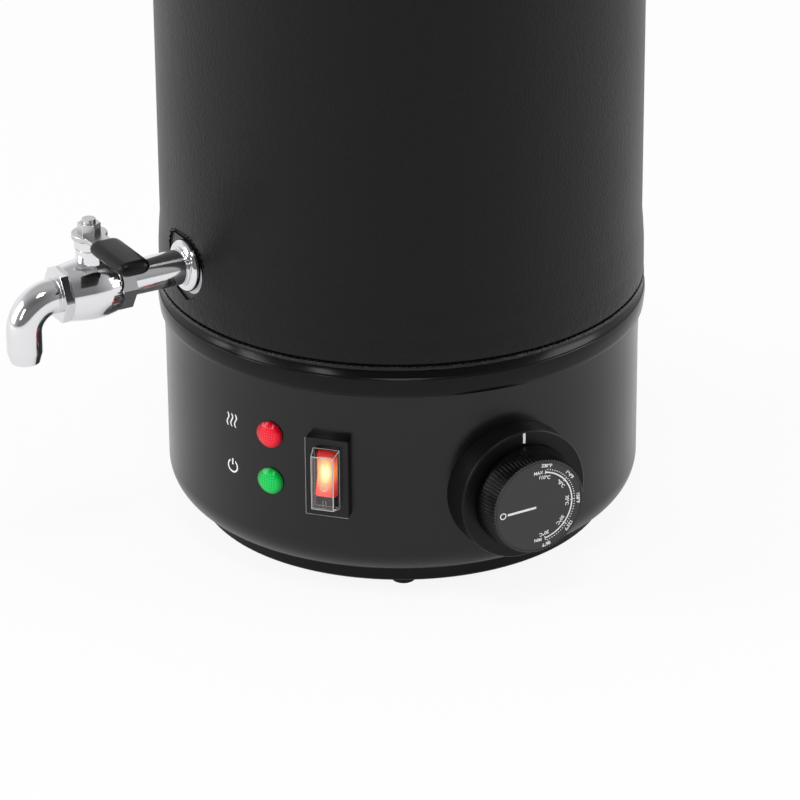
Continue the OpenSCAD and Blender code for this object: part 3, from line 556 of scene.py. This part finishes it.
def make_materials():
    """One for each slot of the record, and a few for new pieces. After the colour and roughness come
    the spread of shade, the size of its blotches, the scuffs and their colour, and the dust."""
    surfaced("base_paint", (0.005, 0.005, 0.0052), 0.23, 0.08, 14, 0.1, 0.02, 0.03, texture=1100, depth=0.035,
             specular=0.35)
    surfaced("ring_paint", (0.003, 0.003, 0.0032), 0.2, 0.08, 20, 0.12, 0.02, 0.03, texture=700, depth=0.02,
             specular=0.17)
    surfaced("shell_steel", 0.006, 0.5, 0.12, 40, 0.25, depth=0.08, specular=0.2)
    leather("jacket_leather", (0.0042, 0.0042, 0.0044), 0.19, 0.38, 0.2)
    leather("hem_leather", (0.010, 0.010, 0.0105), 0.26, 0.3, 0.3, 0.7, 0.02)
    turned_metal("pot_steel", (0.62, 0.62, 0.63), 0.24)
    surfaced("zinc_steel", 0.6, 0.32, 0.1, 60, 0.4, 0.42, metallic=1.0)
    surfaced("aluminium", (0.65, 0.65, 0.67), 0.42, 0.1, 50, 0.3, (0.45, 0.45, 0.46), texture=700, depth=0.2,
             metallic=1.0)
    surfaced("copper", (0.72, 0.4, 0.25), 0.3, 0.16, 80, 0.3, (0.5, 0.27, 0.17), metallic=1.0)
    surfaced("chrome", (0.78, 0.78, 0.8), 0.08, 0.03, 60, 0.1, 0.6, 0.02, depth=0.004, metallic=1.0,
             gloss_spread=0.015)
    surfaced("black_plastic", (0.003, 0.003, 0.0031), 0.34, 0.1, 40, 0.12, 0.015, 0.03, texture=1700,
             depth=0.05, specular=0.2)
    surfaced("gloss_black_plastic", (0.003, 0.003, 0.0032), 0.14, 0.08, 40, 0.1, 0.015, 0.03, texture=500,
             depth=0.012, specular=0.32)
    surfaced("knob_disc", (0.028, 0.028, 0.029), 0.42, 0.06, 60, 0.12, texture=2200, depth=0.06, specular=0.4)
    surfaced("foot_rubber", 0.012, 0.75, 0.15, 90, 0.3, depth=0.14)
    surfaced("gasket_rubber", (0.6, 0.2, 0.1), 0.6, 0.12, 90, 0.2, depth=0.1)
    surfaced("seat_ptfe", (0.85, 0.85, 0.83), 0.35, 0.05, 90, 0.1, (0.7, 0.7, 0.68))
    surfaced("insulation_wool", (0.72, 0.66, 0.45), 0.95, 0.3, 90, 0.3, (0.5, 0.45, 0.3), texture=420,
             depth=0.9, sheen=0.3)
    surfaced("ceramic", (0.82, 0.8, 0.74), 0.45, 0.06, 60, 0.15, (0.6, 0.58, 0.54), depth=0.1)
    surfaced("lamp_white", (0.8, 0.8, 0.78), 0.4, 0.06, 60, 0.15, (0.6, 0.6, 0.58))
    # A light grey for the painted highlights on the clear cover's edges, also used for its two short ribs.
    surfaced("clear_edge", 0.6, 0.25, 0.06, 300, 0.1, 0.5, texture=1500, depth=0.04)
    surfaced("knob_plastic", 0.0022, 0.28, 0.1, 40, 0.1, 0.012, 0.02, texture=1700, depth=0.04, specular=0.13)
    # A light grey for the painted highlights along the switch frame's left and lower edges.
    surfaced("edge_painted_highlight", 0.27, 0.2, 0.1, 300, 0.1, texture=900, depth=0.02)
    # A duller, darker metal for the washer: partly its own finish, partly painted shade of the shadowed gap
    # round the collar.
    surfaced("washer_metal_and_painted_shade", (0.5, 0.5, 0.51), 0.25, 0.15, 90, 0.4, 0.3, metallic=1.0)
    surfaced("felt_backing", 0.06, 0.9, 0.35, 400, 0.4, 0.13, texture=1500, depth=0.6, sheen=0.1)
    surfaced("print_white", (0.83, 0.83, 0.82), 0.5, 0.05, 500, 0.3, 0.6, 0.05, texture=2600, depth=0.1)
    # Black for the thread, and for painted shade: the ring in the hem's seam groove and the roll round the
    # spout's opening.
    surfaced("black_thread_and_painted_shade", 0.002, 0.9, 0.25, 900, 0.1, 0.006, 0.02, texture=3800, depth=0.5, specular=0.05)
    clear("clear_cover", 0.97, 1.49, 0.05)
    clear("lid_clear", (0.93, 0.98, 0.96), 1.51, 0.012)
    lit_rocker()
    lit_lens("lens_red", (0.66, 0.0, 0.018), (1.0, 0.15, 0.14), HEATING_Z, 0.95)
    lit_lens("lens_green", (0.0, 0.42, 0.055), (0.05, 1.0, 0.3), STANDBY_Z, 0.9)


# ---------------------------------------------------------------- making pieces

def finish_piece(name, bm, material, replaced=(), body="melter", sharp=35.0, turn_out=True):
    """Turns a bmesh into a finished piece that rides on its body."""
    if turn_out:
        bmesh.ops.recalc_face_normals(bm, faces=bm.faces)
    limit = math.radians(sharp)
    for face in bm.faces:
        face.smooth = True
    for edge in bm.edges:
        edge.smooth = len(edge.link_faces) == 2 and edge.calc_face_angle(0.0) < limit
    mesh = mesh_from(name, bm)
    leftover = mesh.attributes.get("custom_normal")
    if leftover:
        mesh.attributes.remove(leftover)
    mesh.materials.clear()
    mesh.materials.append(MATERIAL[material])
    piece = add_object(name, mesh)
    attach(piece, body)
    if replaced:
        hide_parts(*replaced)
    return piece


def moved(bm, matrix, verts=None):
    """Moves a bmesh, or some of its points, by a matrix."""
    bmesh.ops.transform(bm, matrix=matrix, verts=verts or bm.verts)


def new_points(grown):
    """The points that an extrusion made."""
    return [item for item in grown["geom"] if isinstance(item, bmesh.types.BMVert)]


def add_skin(bm, first, second):
    """Faces between two closed rows of points."""
    for i in range(len(first)):
        bm.faces.new((first[i - 1], first[i], second[i], second[i - 1]))


def arc(cx, cy, r, start, end, steps):
    """Points on an arc, from one angle to another."""
    angles = [math.radians(start + (end - start) * i / steps) for i in range(steps + 1)]
    return [(cx + r * math.cos(a), cy + r * math.sin(a)) for a in angles]


def lathe(profile, steps=256):
    """Spins a closed outline of (radius, height) in millimetres round the pot's axis."""
    bm = bmesh.new()
    verts = [bm.verts.new((r * MM, 0, z * MM)) for r, z in profile]
    edges = [bm.edges.new(pair) for pair in zip(verts, verts[1:] + verts[:1])]
    bmesh.ops.spin(bm, geom=verts + edges, cent=(0, 0, 0), axis=(0, 0, 1), angle=2 * math.pi, steps=steps,
                   use_merge=True, use_duplicate=False)
    bmesh.ops.remove_doubles(bm, verts=bm.verts, dist=1e-7)
    return bm


def reshaped(bm, azimuth, height, rule):
    """Moves points by a rule in wall millimetres: right, up and distance from the pot's axis."""
    place = wall_matrix(azimuth, 0, height)
    back = place.inverted()
    for vert in bm.verts:
        vert.co = place @ (Vector(rule(*(back @ vert.co / MM))) * MM)


def refined(node, material=None, bevel=0.0, fit=None):
    """A merged, smooth copy of a CAD node, with softened edges, that stands for it."""
    sharp = 28.0
    source = nodes[node]
    slot = NODE_SLOT[node]
    bm = bmesh.new()
    bm.from_mesh(source.data)
    bmesh.ops.remove_doubles(bm, verts=bm.verts, dist=2e-6)
    if fit:
        reshaped(bm, *fit)
    if bevel:
        bmesh.ops.dissolve_limit(bm, angle_limit=math.radians(0.4), verts=bm.verts, edges=bm.edges)
    body = source["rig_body"]
    piece = finish_piece(node + "_finished", bm, material or slot, (node,), body, sharp, False)
    if bevel:
        soft = piece.modifiers.new("softened_edges", "BEVEL")
        soft.width = bevel * MM
        soft.segments = 2
        soft.limit_method = "ANGLE"
        soft.angle_limit = math.radians(sharp)
        soft.use_clamp_overlap = True
    return piece


def wrap_on_wall(bm, azimuth, height, radius):
    """Bends a flat layout (x right, y up, z outward, in metres) onto the round wall."""
    for vert in bm.verts:
        a = math.radians(azimuth) + vert.co.x / (radius * MM)
        r = radius * MM + vert.co.z
        vert.co = Vector((r * math.sin(a), -r * math.cos(a), height * MM + vert.co.y))


def dress_cad_nodes():
    """Gives each CAD node the material of its slot."""
    for name, obj in nodes.items():
        obj.data.materials.clear()
        obj.data.materials.append(MATERIAL[NODE_SLOT[name]])


# ---------------------------------------------------------------- base, ring, jacket and hem

def base_wall():
    """The pressed cover: a rounded lower corner, and a wall that opens a little at the top."""
    hole = 76.0
    flare_from = BASE_TOP - 16
    corner = (BASE_R - BASE_CORNER, BASE_LOW + BASE_CORNER)
    profile = [(hole, BASE_LOW)]
    profile += arc(*corner, BASE_CORNER, -90, 0, 24)
    profile += [(BASE_R, flare_from), (BASE_R + 0.2, BASE_TOP - 8), (BASE_R + BASE_FLARE, BASE_TOP)]
    profile += [(BASE_R - SHEET, BASE_TOP), (BASE_R - SHEET, flare_from)]
    profile += arc(*corner, BASE_CORNER - SHEET, 0, -90, 24)
    profile += [(hole, BASE_LOW + SHEET)]
    finish_piece("base_wall", lathe(profile), "base_paint", ("base_housing",))


def shoulder():
    """The bulging ring between the base and the hem, with a small bead along its brow."""
    inner = BASE_R - SHEET
    foot = SHELL_R + 0.15
    profile = [(inner - 1.8, BASE_TOP - 7), (inner - 0.05, BASE_TOP - 7), (inner - 0.05, BASE_TOP)]
    profile += [(BASE_R + 0.1, BASE_TOP + 0.02), (RING_R - 0.75, BASE_TOP + 0.02)]
    profile += [(RING_R - 0.6, BASE_TOP + 0.2)]
    profile += [(RING_R - 0.35, BASE_TOP + 2.4), (RING_R - 0.1, BASE_TOP + 4.6), (RING_R, BASE_TOP + 6.2)]
    profile += [(RING_R - 0.1, BASE_TOP + 7.6)]
    profile += arc(RING_R - 0.9, BASE_TOP + 8.3, 0.75, -5, 68, 8)
    profile += [(RING_R - 0.95, BASE_TOP + 9.35), (RING_R - 1.8, HEM_LOW - 0.2), (foot, HEM_LOW - 0.2)]
    profile += [(foot, RING_TOP), (92.0, RING_TOP), (92.0, RING_TOP - 2.2)]
    profile += [(inner - 0.2, RING_TOP - 2.2), (inner - 1.8, RING_TOP - 6.2)]
    finish_piece("shoulder", lathe(profile, 288), "ring_paint", ("shoulder_ring",))


def opening_outline(grow=0.0, steps=28):
    """The spout's opening in the leather, in wall millimetres: a round hole drawn out to two sewn points."""
    points = [(-13.5, 11.3)]
    points += arc(-4.0, 0, 15.7, 144, 262, steps)
    points += [(0.1, -17.0)]
    points += arc(-0.8, -1.9, 14.1, -58, 92, steps)
    return [(x * (1 + grow / math.hypot(x, y)), y * (1 + grow / math.hypot(x, y))) for x, y in points]


def cut_away(piece, bm):
    """Cuts a solid out of a piece's mesh."""
    bmesh.ops.recalc_face_normals(bm, faces=bm.faces)
    cutter = add_object("cutter", mesh_from("cutter", bm))
    cut = piece.modifiers.new("cut", "BOOLEAN")
    cut.operation = "DIFFERENCE"
    cut.object = cutter
    bpy.context.view_layer.update()
    result = bpy.data.meshes.new_from_object(piece.evaluated_get(bpy.context.evaluated_depsgraph_get()))
    piece.modifiers.remove(cut)
    piece.data = result
    bpy.data.objects.remove(cutter)


def outline_solid(outline, low, high):
    """An outline as a solid that reaches from one distance to another."""
    bm = bmesh.new()
    face = bm.faces.new([bm.verts.new((x * MM, y * MM, low * MM)) for x, y in outline])
    grown = bmesh.ops.extrude_face_region(bm, geom=[face])
    bmesh.ops.translate(bm, verts=new_points(grown), vec=(0, 0, (high - low) * MM))
    return bm


def jacket():
    """The leather, which bulges a little above the hem, with its opening for the spout."""
    low = HEM_TOP + 0.6
    profile = [(SHELL_R, low), (JACKET_R + 0.55, low)]
    profile += arc(JACKET_R + 0.6, low + 0.55, 0.55, -90, 0, 6)
    profile += [(JACKET_R + 1.15, HEM_TOP + 6), (JACKET_R + 1.0, HEM_TOP + 16.5)]
    profile += [(JACKET_R + 0.55, HEM_TOP + 24), (JACKET_R, HEM_TOP + 30.5)]
    profile += [(JACKET_R, JACKET_TOP), (SHELL_R, JACKET_TOP)]
    piece = finish_piece("jacket", lathe(profile), "jacket_leather", ("leather_jacket",))
    cutter = outline_solid(opening_outline(), 90, 125)
    moved(cutter, wall_matrix(SPOUT_AZ, 0, SPOUT_Z))
    cut_away(piece, cutter)


def hem():
    """The sewn band under the jacket, a little wrinkled where the thread gathers it."""
    top = HEM_TOP - 0.5
    half = (top - HEM_LOW) / 2
    profile = [(SHELL_R, HEM_LOW)]
    profile += arc(JACKET_R + 1.45 - half, HEM_LOW + half, half, -90, 90, 14)
    profile += [(SHELL_R, top)]
    bm = lathe(profile, 720)
    for vert in bm.verts:
        out = Vector((vert.co.x, vert.co.y, 0))
        if out.length < (JACKET_R + 0.2) * MM:
            continue
        rough = noise.fractal(vert.co * 420, 0.6, 2.2, 3) + 0.6 * noise.noise(vert.co * 130)
        vert.co -= out.normalized() * (0.22 + 0.16 * rough) * MM
        vert.co.z += 0.12 * MM * noise.noise(vert.co * 160 + Vector((4, 7, 2)))
    finish_piece("hem", bm, "hem_leather", ("hem_band",))


def add_stitch(bm, centre, along, outward, length, width):
    """One stitch: a short rounded thread, its sizes in millimetres."""
    made = bmesh.ops.create_uvsphere(bm, u_segments=6, v_segments=5, radius=0.5)
    side = outward.cross(along).normalized()
    turn = Matrix((along * length, side * width, outward * width)).transposed() * MM
    moved(bm, Matrix.Translation(centre) @ turn.to_4x4(), made["verts"])


def hem_stitches():
    """The stitches along the hem, and a black ring in the groove of its seam that paints the groove's shade.
    """
    bm = bmesh.new()
    count = 204
    for i in range(count):
        a = 2 * math.pi * i / count + 0.004 * noise.noise(Vector((i * 1.7, 0, 0)))
        outward = Vector((math.sin(a), -math.cos(a), 0))
        lean = 0.1 + 0.08 * noise.noise(Vector((i * 2.3, 5, 0)))
        along = Vector((math.cos(a), math.sin(a), lean)).normalized()
        centre = outward * (JACKET_R + 0.75) * MM + Vector((0, 0, (HEM_TOP - 0.05) * MM))
        add_stitch(bm, centre, along, outward, 2.5, 1.2)
    # A black ring laid in the seam's groove: painted shade.
    groove = mesh_from("groove", lathe(arc(JACKET_R - 0.1, HEM_TOP + 0.05, 0.75, 0, 330, 11), 360))
    bm.from_mesh(groove)
    bpy.data.meshes.remove(groove)
    finish_piece("hem_stitches", bm, "black_thread_and_painted_shade", (), sharp=60)


def opening_edge():
    """The turned edge round the spout's opening, as a thin roll in near-black: a real edge, whose black is
    painted shade along the cut.
    """
    line = [Vector((x, y, 0)) * MM for x, y in opening_outline(0.1, 60)]
    section = arc(0, 0, 0.35, 0, 360, 8)[:-1]
    bm = bmesh.new()
    rows = []
    for i, centre in enumerate(line):
        ahead = line[(i + 1) % len(line)] - line[i - 1]
        side = Vector((ahead.y, -ahead.x, 0)).normalized()
        rows.append([bm.verts.new(centre + (side * x + Vector((0, 0, z))) * MM) for x, z in section])
    for first, second in zip(rows, rows[1:] + rows[:1]):
        add_skin(bm, first, second)
    wrap_on_wall(bm, SPOUT_AZ, SPOUT_Z, JACKET_R + 0.35)
    finish_piece("opening_edge", bm, "black_thread_and_painted_shade", ())


def opening_backing():
    """The felt seen in the opening, with a lip up to the leather's edge."""
    lips = opening_outline(-0.05)
    bm = bmesh.new()
    rings = [[bm.verts.new((x * share * MM, y * share * MM, high * MM)) for x, y in lips]
             for share, high in ((1, 0.9), (1, 0.0), (0.8, 0.0), (0.6, 0.0), (0.45, 0.0))]
    for first, second in zip(rings, rings[1:]):
        add_skin(bm, first, second)
    wrap_on_wall(bm, SPOUT_AZ, SPOUT_Z, SHELL_R + 1.1)
    finish_piece("opening_backing", bm, "felt_backing", ())


def opening_stitches():
    """The thread that holds the turned edge, one stitch each 2.7 mm."""
    pitch = 2.7
    seam = opening_outline(1.7, 60)
    bm = bmesh.new()
    travelled = 0.0
    for start, end in zip(seam, seam[1:] + seam[:1]):
        start = Vector((*start, 0))
        way = Vector((*end, 0)) - start
        steps = max(1, round(way.length / 0.4))
        for k in range(steps):
            travelled += way.length / steps
            if travelled >= pitch:
                travelled = 0.0
                centre = (start + way * (k + 0.5) / steps) * MM
                add_stitch(bm, centre, way.normalized(), Vector((0, 0, 1)), 1.9, 0.5)
    wrap_on_wall(bm, SPOUT_AZ, SPOUT_Z, JACKET_R + 0.2)
    finish_piece("opening_stitches", bm, "black_thread_and_painted_shade", (), sharp=60)


def top_trim():
    """The rolled ring that closes the jacket at the pot's rim."""
    outer = JACKET_R + 0.7
    inner = SHELL_R - SHEET
    pot = 97
    profile = [(inner - 2, JACKET_TOP - 8), (inner - 0.05, JACKET_TOP - 8), (inner - 0.05, JACKET_TOP)]
    profile += [(JACKET_R + 1.2, JACKET_TOP)]
    profile += arc(outer, JACKET_TOP + 1.5, 1.5, -60, 60, 12)
    profile += [(JACKET_R - 0.5, RIM_Z), (pot, RIM_Z), (pot, RIM_Z - 2), (inner - 2, RIM_Z - 2.6)]
    finish_piece("top_trim", lathe(profile), "ring_paint", ("top_ring",))


# ---------------------------------------------------------------- printed marks

def polar(radius, angle):
    """Across and up for a radius and an angle in degrees."""
    return radius * math.cos(math.radians(angle)), radius * math.sin(math.radians(angle))


def add_text(bm, words, size, place):
    """Adds a word in the plain built-in letters, centred at a place."""
    curve = bpy.data.curves.new("letters", "FONT")
    curve.body = words
    curve.size = size * MM
    curve.align_x = "CENTER"
    curve.align_y = "CENTER"
    curve.offset = 0.06 * MM
    letters = add_object("letters", curve)
    bpy.context.view_layer.update()
    mesh = bpy.data.meshes.new_from_object(letters.evaluated_get(bpy.context.evaluated_depsgraph_get()))
    mesh.transform(place)
    bm.from_mesh(mesh)
    bpy.data.objects.remove(letters)
    bpy.data.meshes.remove(mesh)


def add_band(bm, radius, width, start, end, steps):
    """A flat arc of print, in millimetres and degrees."""
    near = radius - width / 2
    inner = [bm.verts.new((x * MM, y * MM, 0)) for x, y in arc(0, 0, near, start, end, steps)]
    edges = [bm.edges.new(pair) for pair in zip(inner, inner[1:])]
    grown = bmesh.ops.extrude_edge_only(bm, edges=edges)
    scale = (radius + width / 2) / near
    bmesh.ops.scale(bm, vec=(scale, scale, 1), verts=new_points(grown))


def add_strip(bm, x0, y0, x1, y1, width):
    """A flat straight line of print."""
    made = bmesh.ops.create_grid(bm, x_segments=1, y_segments=1, size=0.5)
    length = math.hypot(x1 - x0, y1 - y0)
    turn = Matrix.Rotation(math.atan2(y1 - y0, x1 - x0), 4, "Z")
    size = Matrix.Diagonal((length * MM, width * MM, 1, 1))
    moved(bm, shifted((x0 + x1) / 2, (y0 + y1) / 2, 0) @ turn @ size, made["verts"])


def printed(name, bm, place=None, wrap=None, body="melter"):
    """Gives flat print a little thickness and puts it on its surface."""
    bmesh.ops.remove_doubles(bm, verts=bm.verts, dist=1e-7)
    bmesh.ops.recalc_face_normals(bm, faces=bm.faces)
    for face in bm.faces:
        if face.normal.z < 0:
            face.normal_flip()
    grown = bmesh.ops.extrude_face_region(bm, geom=list(bm.faces))
    bmesh.ops.translate(bm, verts=new_points(grown), vec=(0, 0, 0.06 * MM))
    if wrap:
        wrap_on_wall(bm, *wrap, BASE_R + 0.01)
    else:
        moved(bm, place)
    finish_piece(name, bm, "print_white", (), body, 30)


def dial_print():
    """Degrees round the knob's face, from MIN at the bottom to MAX at the top."""
    bm = bmesh.new()
    add_band(bm, 16.5, 0.62, -79, 79, 80)
    for angle in range(-76, 77, 4):
        made = bmesh.ops.create_circle(bm, cap_ends=True, segments=8, radius=0.27 * MM)
        moved(bm, shifted(*polar(17.85, angle), 0), made["verts"])
    marks = ((79, "110°C", "230°F"), (39, "90°C", "194°F"), (0, "70°C", "158°F"),
             (-40, "50°C", "122°F"), (-79, "30°C", "86°F"))
    for angle, celsius, fahrenheit in marks:
        add_strip(bm, *polar(15.7, angle), *polar(17.5, angle), 0.42)
        for words, radius, size in ((celsius, 14.0, 2.3), (fahrenheit, 19.6, 2.25)):
            add_text(bm, words, size, shifted(*polar(radius, angle), 0) @ turned(angle - 90, "Z"))
    for words, angle in (("MAX", 90), ("MIN", -90)):
        add_text(bm, words, 2.1, shifted(-0.4, polar(16.4, angle)[1], 0) @ turned(angle - 90, "Z"))
    pointer = 182.5
    add_strip(bm, *polar(15.6, pointer), *polar(1.4, 186), 1.05)
    before = set(bm.verts)
    add_band(bm, 1.35, 0.5, 0, 360, 32)
    moved(bm, shifted(*polar(17.9, pointer), 0), [vert for vert in bm.verts if vert not in before])
    printed("dial_print", bm, wall_matrix(KNOB_AZ, KNOB_FACE + 0.01, KNOB_Z), body="knob")


def bezel_mark():
    """The line at the top of the bezel that the dial is read against."""
    bm = bmesh.new()
    add_strip(bm, 0, BEZEL_R - 5.6, 0, BEZEL_R - 0.75, 1.25)
    printed("bezel_mark", bm, wall_matrix(KNOB_AZ, BEZEL_FACE + 0.01, KNOB_Z))


def heat_sign():
    """Three rising waves of heat beside the red lamp."""
    bm = bmesh.new()
    for shift in (-2.4, 0.0, 2.4):
        made = bmesh.ops.create_grid(bm, x_segments=1, y_segments=28, size=0.5)
        for vert in made["verts"]:
            wave = 0.62 * math.sin(vert.co.y * math.tau)
            vert.co = Vector((shift + vert.co.x * 0.75 + wave, vert.co.y * 6.4, 0)) * MM
    printed("heat_sign", bm, wrap=(SIGN_AZ, HEATING_Z))


def ready_sign():
    """A broken ring with a bar beside the green lamp: ready and waiting."""
    bm = bmesh.new()
    add_band(bm, 2.9, 0.75, 122, 418, 48)
    add_strip(bm, 0, 0.7, 0, 3.7, 0.75)
    printed("ready_sign", bm, wrap=(SIGN_AZ, STANDBY_Z))


# ---------------------------------------------------------------- lit switch with its clear cover

def rocker_place():
    """Where the rocker's pivot is, with its upper half pressed in."""
    return wall_matrix(SWITCH_AZ, ROCKER_PIVOT, SWITCH_Z + ROCKER_UP) @ turned(-ROCKER_LEAN, "X")


def rocker_signs():
    """O and I on the rocker's sloping halves."""
    slope = math.tan(math.radians(ROCKER_LEAN))
    for name, up in (("off_sign", -5.9), ("on_sign", 4.7)):
        bm = bmesh.new()
        if up < 0:
            add_band(bm, 1.6, 0.5, 0, 360, 40)
        else:
            add_strip(bm, 0, -1.5, 0, 1.5, 0.4)
        lift = 4.412 + abs(up) * slope
        place = shifted(0, up, lift) @ turned(math.copysign(ROCKER_LEAN, up), "X")
        printed(name, bm, rocker_place() @ place, body="switch_rocker")


def lit_switch():
    """The rocker: two flat halves that meet in a shallow V, between rounded ends."""
    profile = [(0, 4.4)] + arc(0, 0, ROCKER_REACH, 32.5, -15, 8)
    profile += arc(0, 0, ROCKER_REACH, 195, 147.5, 8)
    bm = bmesh.new()
    left, right = [[bm.verts.new(Vector((x, y, z)) * MM) for y, z in profile]
                   for x in (-ROCKER_HALF, ROCKER_HALF)]
    bm.faces.new(left)
    bm.faces.new(right[::-1])
    add_skin(bm, right, left)
    bmesh.ops.recalc_face_normals(bm, faces=bm.faces)
    brow = [edge for edge in bm.edges if edge.calc_face_angle(0) > 0.6]
    bmesh.ops.bevel(bm, geom=brow, offset=0.3 * MM, segments=2, affect="EDGES")
    moved(bm, rocker_place())
    finish_piece("lit_rocker", bm, "rocker_red", ("rocker",), body="switch_rocker")


def box_corners(size, high):
    """Corners of an upright rectangle at a distance from the wall, going round."""
    x, y = size[0] / 2, size[1] / 2
    return [Vector((a * x, b * y, high)) * MM for a, b in ((-1, -1), (1, -1), (1, 1), (-1, 1))]


def add_bar(bm, start, end, radius):
    """A thin round bar from one point to another."""
    way = end - start
    made = bmesh.ops.create_cone(bm, cap_ends=True, segments=8, radius1=radius * MM, radius2=radius * MM,
                                 depth=way.length)
    turn = way.to_track_quat("Z", "X").to_matrix().to_4x4()
    moved(bm, Matrix.Translation((start + end) / 2) @ turn, made["verts"])


COVER_FOOT = (12.0, 28.5)
SWITCH_PLACE = wall_matrix(SWITCH_AZ, SWITCH_FACE + 0.01, SWITCH_Z)


def clear_cover():
    """The soft clear cover over the rocker: a tapered box, open at the back."""
    bm = bmesh.new()
    shells = []
    for foot, front, high in ((COVER_FOOT, (10.2, 25.6), 6.5), ((10.8, 27.3), (9.2, 24.6), 5.9)):
        low_ring = [bm.verts.new(corner) for corner in box_corners(foot, 0)]
        top_ring = [bm.verts.new(corner) for corner in box_corners(front, high)]
        bm.faces.new(top_ring)
        add_skin(bm, low_ring, top_ring)
        shells.append(low_ring)
    add_skin(bm, *shells)
    moved(bm, SWITCH_PLACE)
    finish_piece("clear_cover", bm, "clear_cover", ("rocker_cover",))


def cover_edges():
    """Painted highlights: light bars for the light that the clear cover's edges catch, and two short ribs at
    its foot.
    """
    foot = box_corners(COVER_FOOT, 0.15)
    front = box_corners((10.1, 25.5), 6.4)
    inside = box_corners((9.2, 24.4), 5.85)
    bm = bmesh.new()
    for i in range(4):
        add_bar(bm, front[i - 1], front[i], 0.19)
        add_bar(bm, foot[i], front[i], 0.15)
        add_bar(bm, foot[i - 1], foot[i], 0.09)
        add_bar(bm, inside[i - 1], inside[i], 0.06)
    for x in (-1.7, -0.4):
        add_bar(bm, Vector((x, -13.0, 0.3)) * MM, Vector((x, -11.2, 0.3)) * MM, 0.14)
    moved(bm, SWITCH_PLACE)
    finish_piece("cover_edges", bm, "clear_edge", ())


def frame_painted_highlight():
    """Painted highlights along the left and lower edges of the switch's frame, as light grey bars."""
    corners = box_corners((19.7, 37.5), -0.12)
    bm = bmesh.new()
    add_bar(bm, corners[3], corners[0], 0.2)
    add_bar(bm, corners[0], corners[1], 0.16)
    moved(bm, SWITCH_PLACE)
    finish_piece("frame_painted_highlight", bm, "edge_painted_highlight", ())


# ---------------------------------------------------------------- collar, and rules that refit CAD nodes

def collar():
    """The chrome ring where the pipe meets the pot: a round rim, a shallow dish and a small neck."""
    bore = PIPE_R + 0.05
    profile = [(bore, 0), (COLLAR_R, 0), (COLLAR_R, 1.2)]
    profile += arc(9.5, 1.9, 2.4, -5, 92, 22)
    profile += [(9.0, 4.22), (8.6, 4.2), (PIPE_R + 1.0, 4.3)]
    profile += arc(PIPE_R + 0.5, 4.6, 0.4, -10, 100, 8) + [(bore, 4.9)]
    bm = lathe(profile, 96)
    moved(bm, wall_matrix(SPOUT_AZ, SHELL_R + 1.2, SPOUT_Z))
    finish_piece("collar", bm, "chrome", ("spout_collar",))


def knob_fit(x, y, far):
    """The grip a little wider, and a broad skirt at its foot."""
    r = math.hypot(x, y)
    if r < 19:
        return x, y, far
    grown = SKIRT_R / r if far < BEZEL_FACE + 2.9 else 1.027
    return x * grown, y * grown, far


def disc_fit(x, y, far):
    """The dial disc a little larger."""
    return x * 1.02, y * 1.02, far


def lens_fit(x, y, far):
    """The lens smaller and flatter, and a little lower and to the left."""
    return x * 0.96 - 0.9, y * 0.92 - 0.6, BASE_R + (far - BASE_R) * (0.85 if far > BASE_R else 1.0)


def washer_fit(x, y, far):
    """The washer's rim smaller, and all of it lower."""
    shrink = WASHER_R / CAD_WASHER_R if math.hypot(x, y) > 12 else 1.0
    return x * shrink, y * shrink - 0.9, far


def plate_fit(x, y, far):
    """The bottom plate's lower side a millimetre lower."""
    return x, (y - 1.0 if y < 9 else y), far


def lever_fit(x, y, far):
    """The handle ends short of the part of the pipe that the photograph shows."""
    return (20 + (x - 20) * 0.73 if x > 20 else x), y, far


def knob_front(piece):
    """The grip's front face has the disc's dark grey."""
    out = wall_point(KNOB_AZ, 1, 0).normalized()
    piece.data.materials.append(MATERIAL["knob_disc"])
    for face in piece.data.polygons:
        if face.normal.dot(out) > 0.3 and face.center.dot(out) > (KNOB_FACE - 0.9) * MM:
            face.material_index = 1


# ---------------------------------------------------------------- everything in place

look_camera()
studio()
pale_floor()
make_materials()
dress_cad_nodes()

base_wall()
shoulder()
jacket()
hem()
hem_stitches()
opening_edge()
opening_backing()
opening_stitches()
top_trim()

refined("bottom_plate", bevel=0.2, fit=(0, 0, plate_fit))
for softened, width in (("rubber_feet", 0.2), ("knob_bezel", 0.35), ("switch_housing", 0.3),
                        ("gland_body", 0.3), ("gland_cap", 0.2), ("valve_body", 0.3),
                        ("outlet_nozzle", 0.2), ("packing_nut", 0.2), ("lever_nut", 0.2)):
    refined(softened, bevel=width)
collar()
for smooth in ("inner_pot", "spout_pipe", "valve_stem", "valve_ball", "lid_glass", "lid_band", "lid_vent",
               "lid_knob", "lid_knob_screw", "lid_washers", "outer_shell", "foot_screws"):
    refined(smooth)
knob_front(refined("control_knob", "knob_plastic", fit=(KNOB_AZ, KNOB_Z, knob_fit)))
refined("knob_face", fit=(KNOB_AZ, KNOB_Z, disc_fit))
refined("heating_lamp_lens", fit=(LAMP_AZ, HEATING_Z, lens_fit))
refined("standby_lamp_lens", fit=(LAMP_AZ, STANDBY_Z, lens_fit))
# The washer's darker metal is partly painted shade.
refined("spout_washer", "washer_metal_and_painted_shade", fit=(SPOUT_AZ, SPOUT_Z, washer_fit))
refined("lever", bevel=0.3, fit=(SPOUT_AZ, SPOUT_Z, lever_fit))
refined("lever_grip", fit=(SPOUT_AZ, SPOUT_Z, lever_fit))

lit_switch()
clear_cover()
cover_edges()
frame_painted_highlight()
dial_print()
bezel_mark()
heat_sign()
ready_sign()
rocker_signs()

bpy.context.scene.view_settings.view_transform = "Standard"
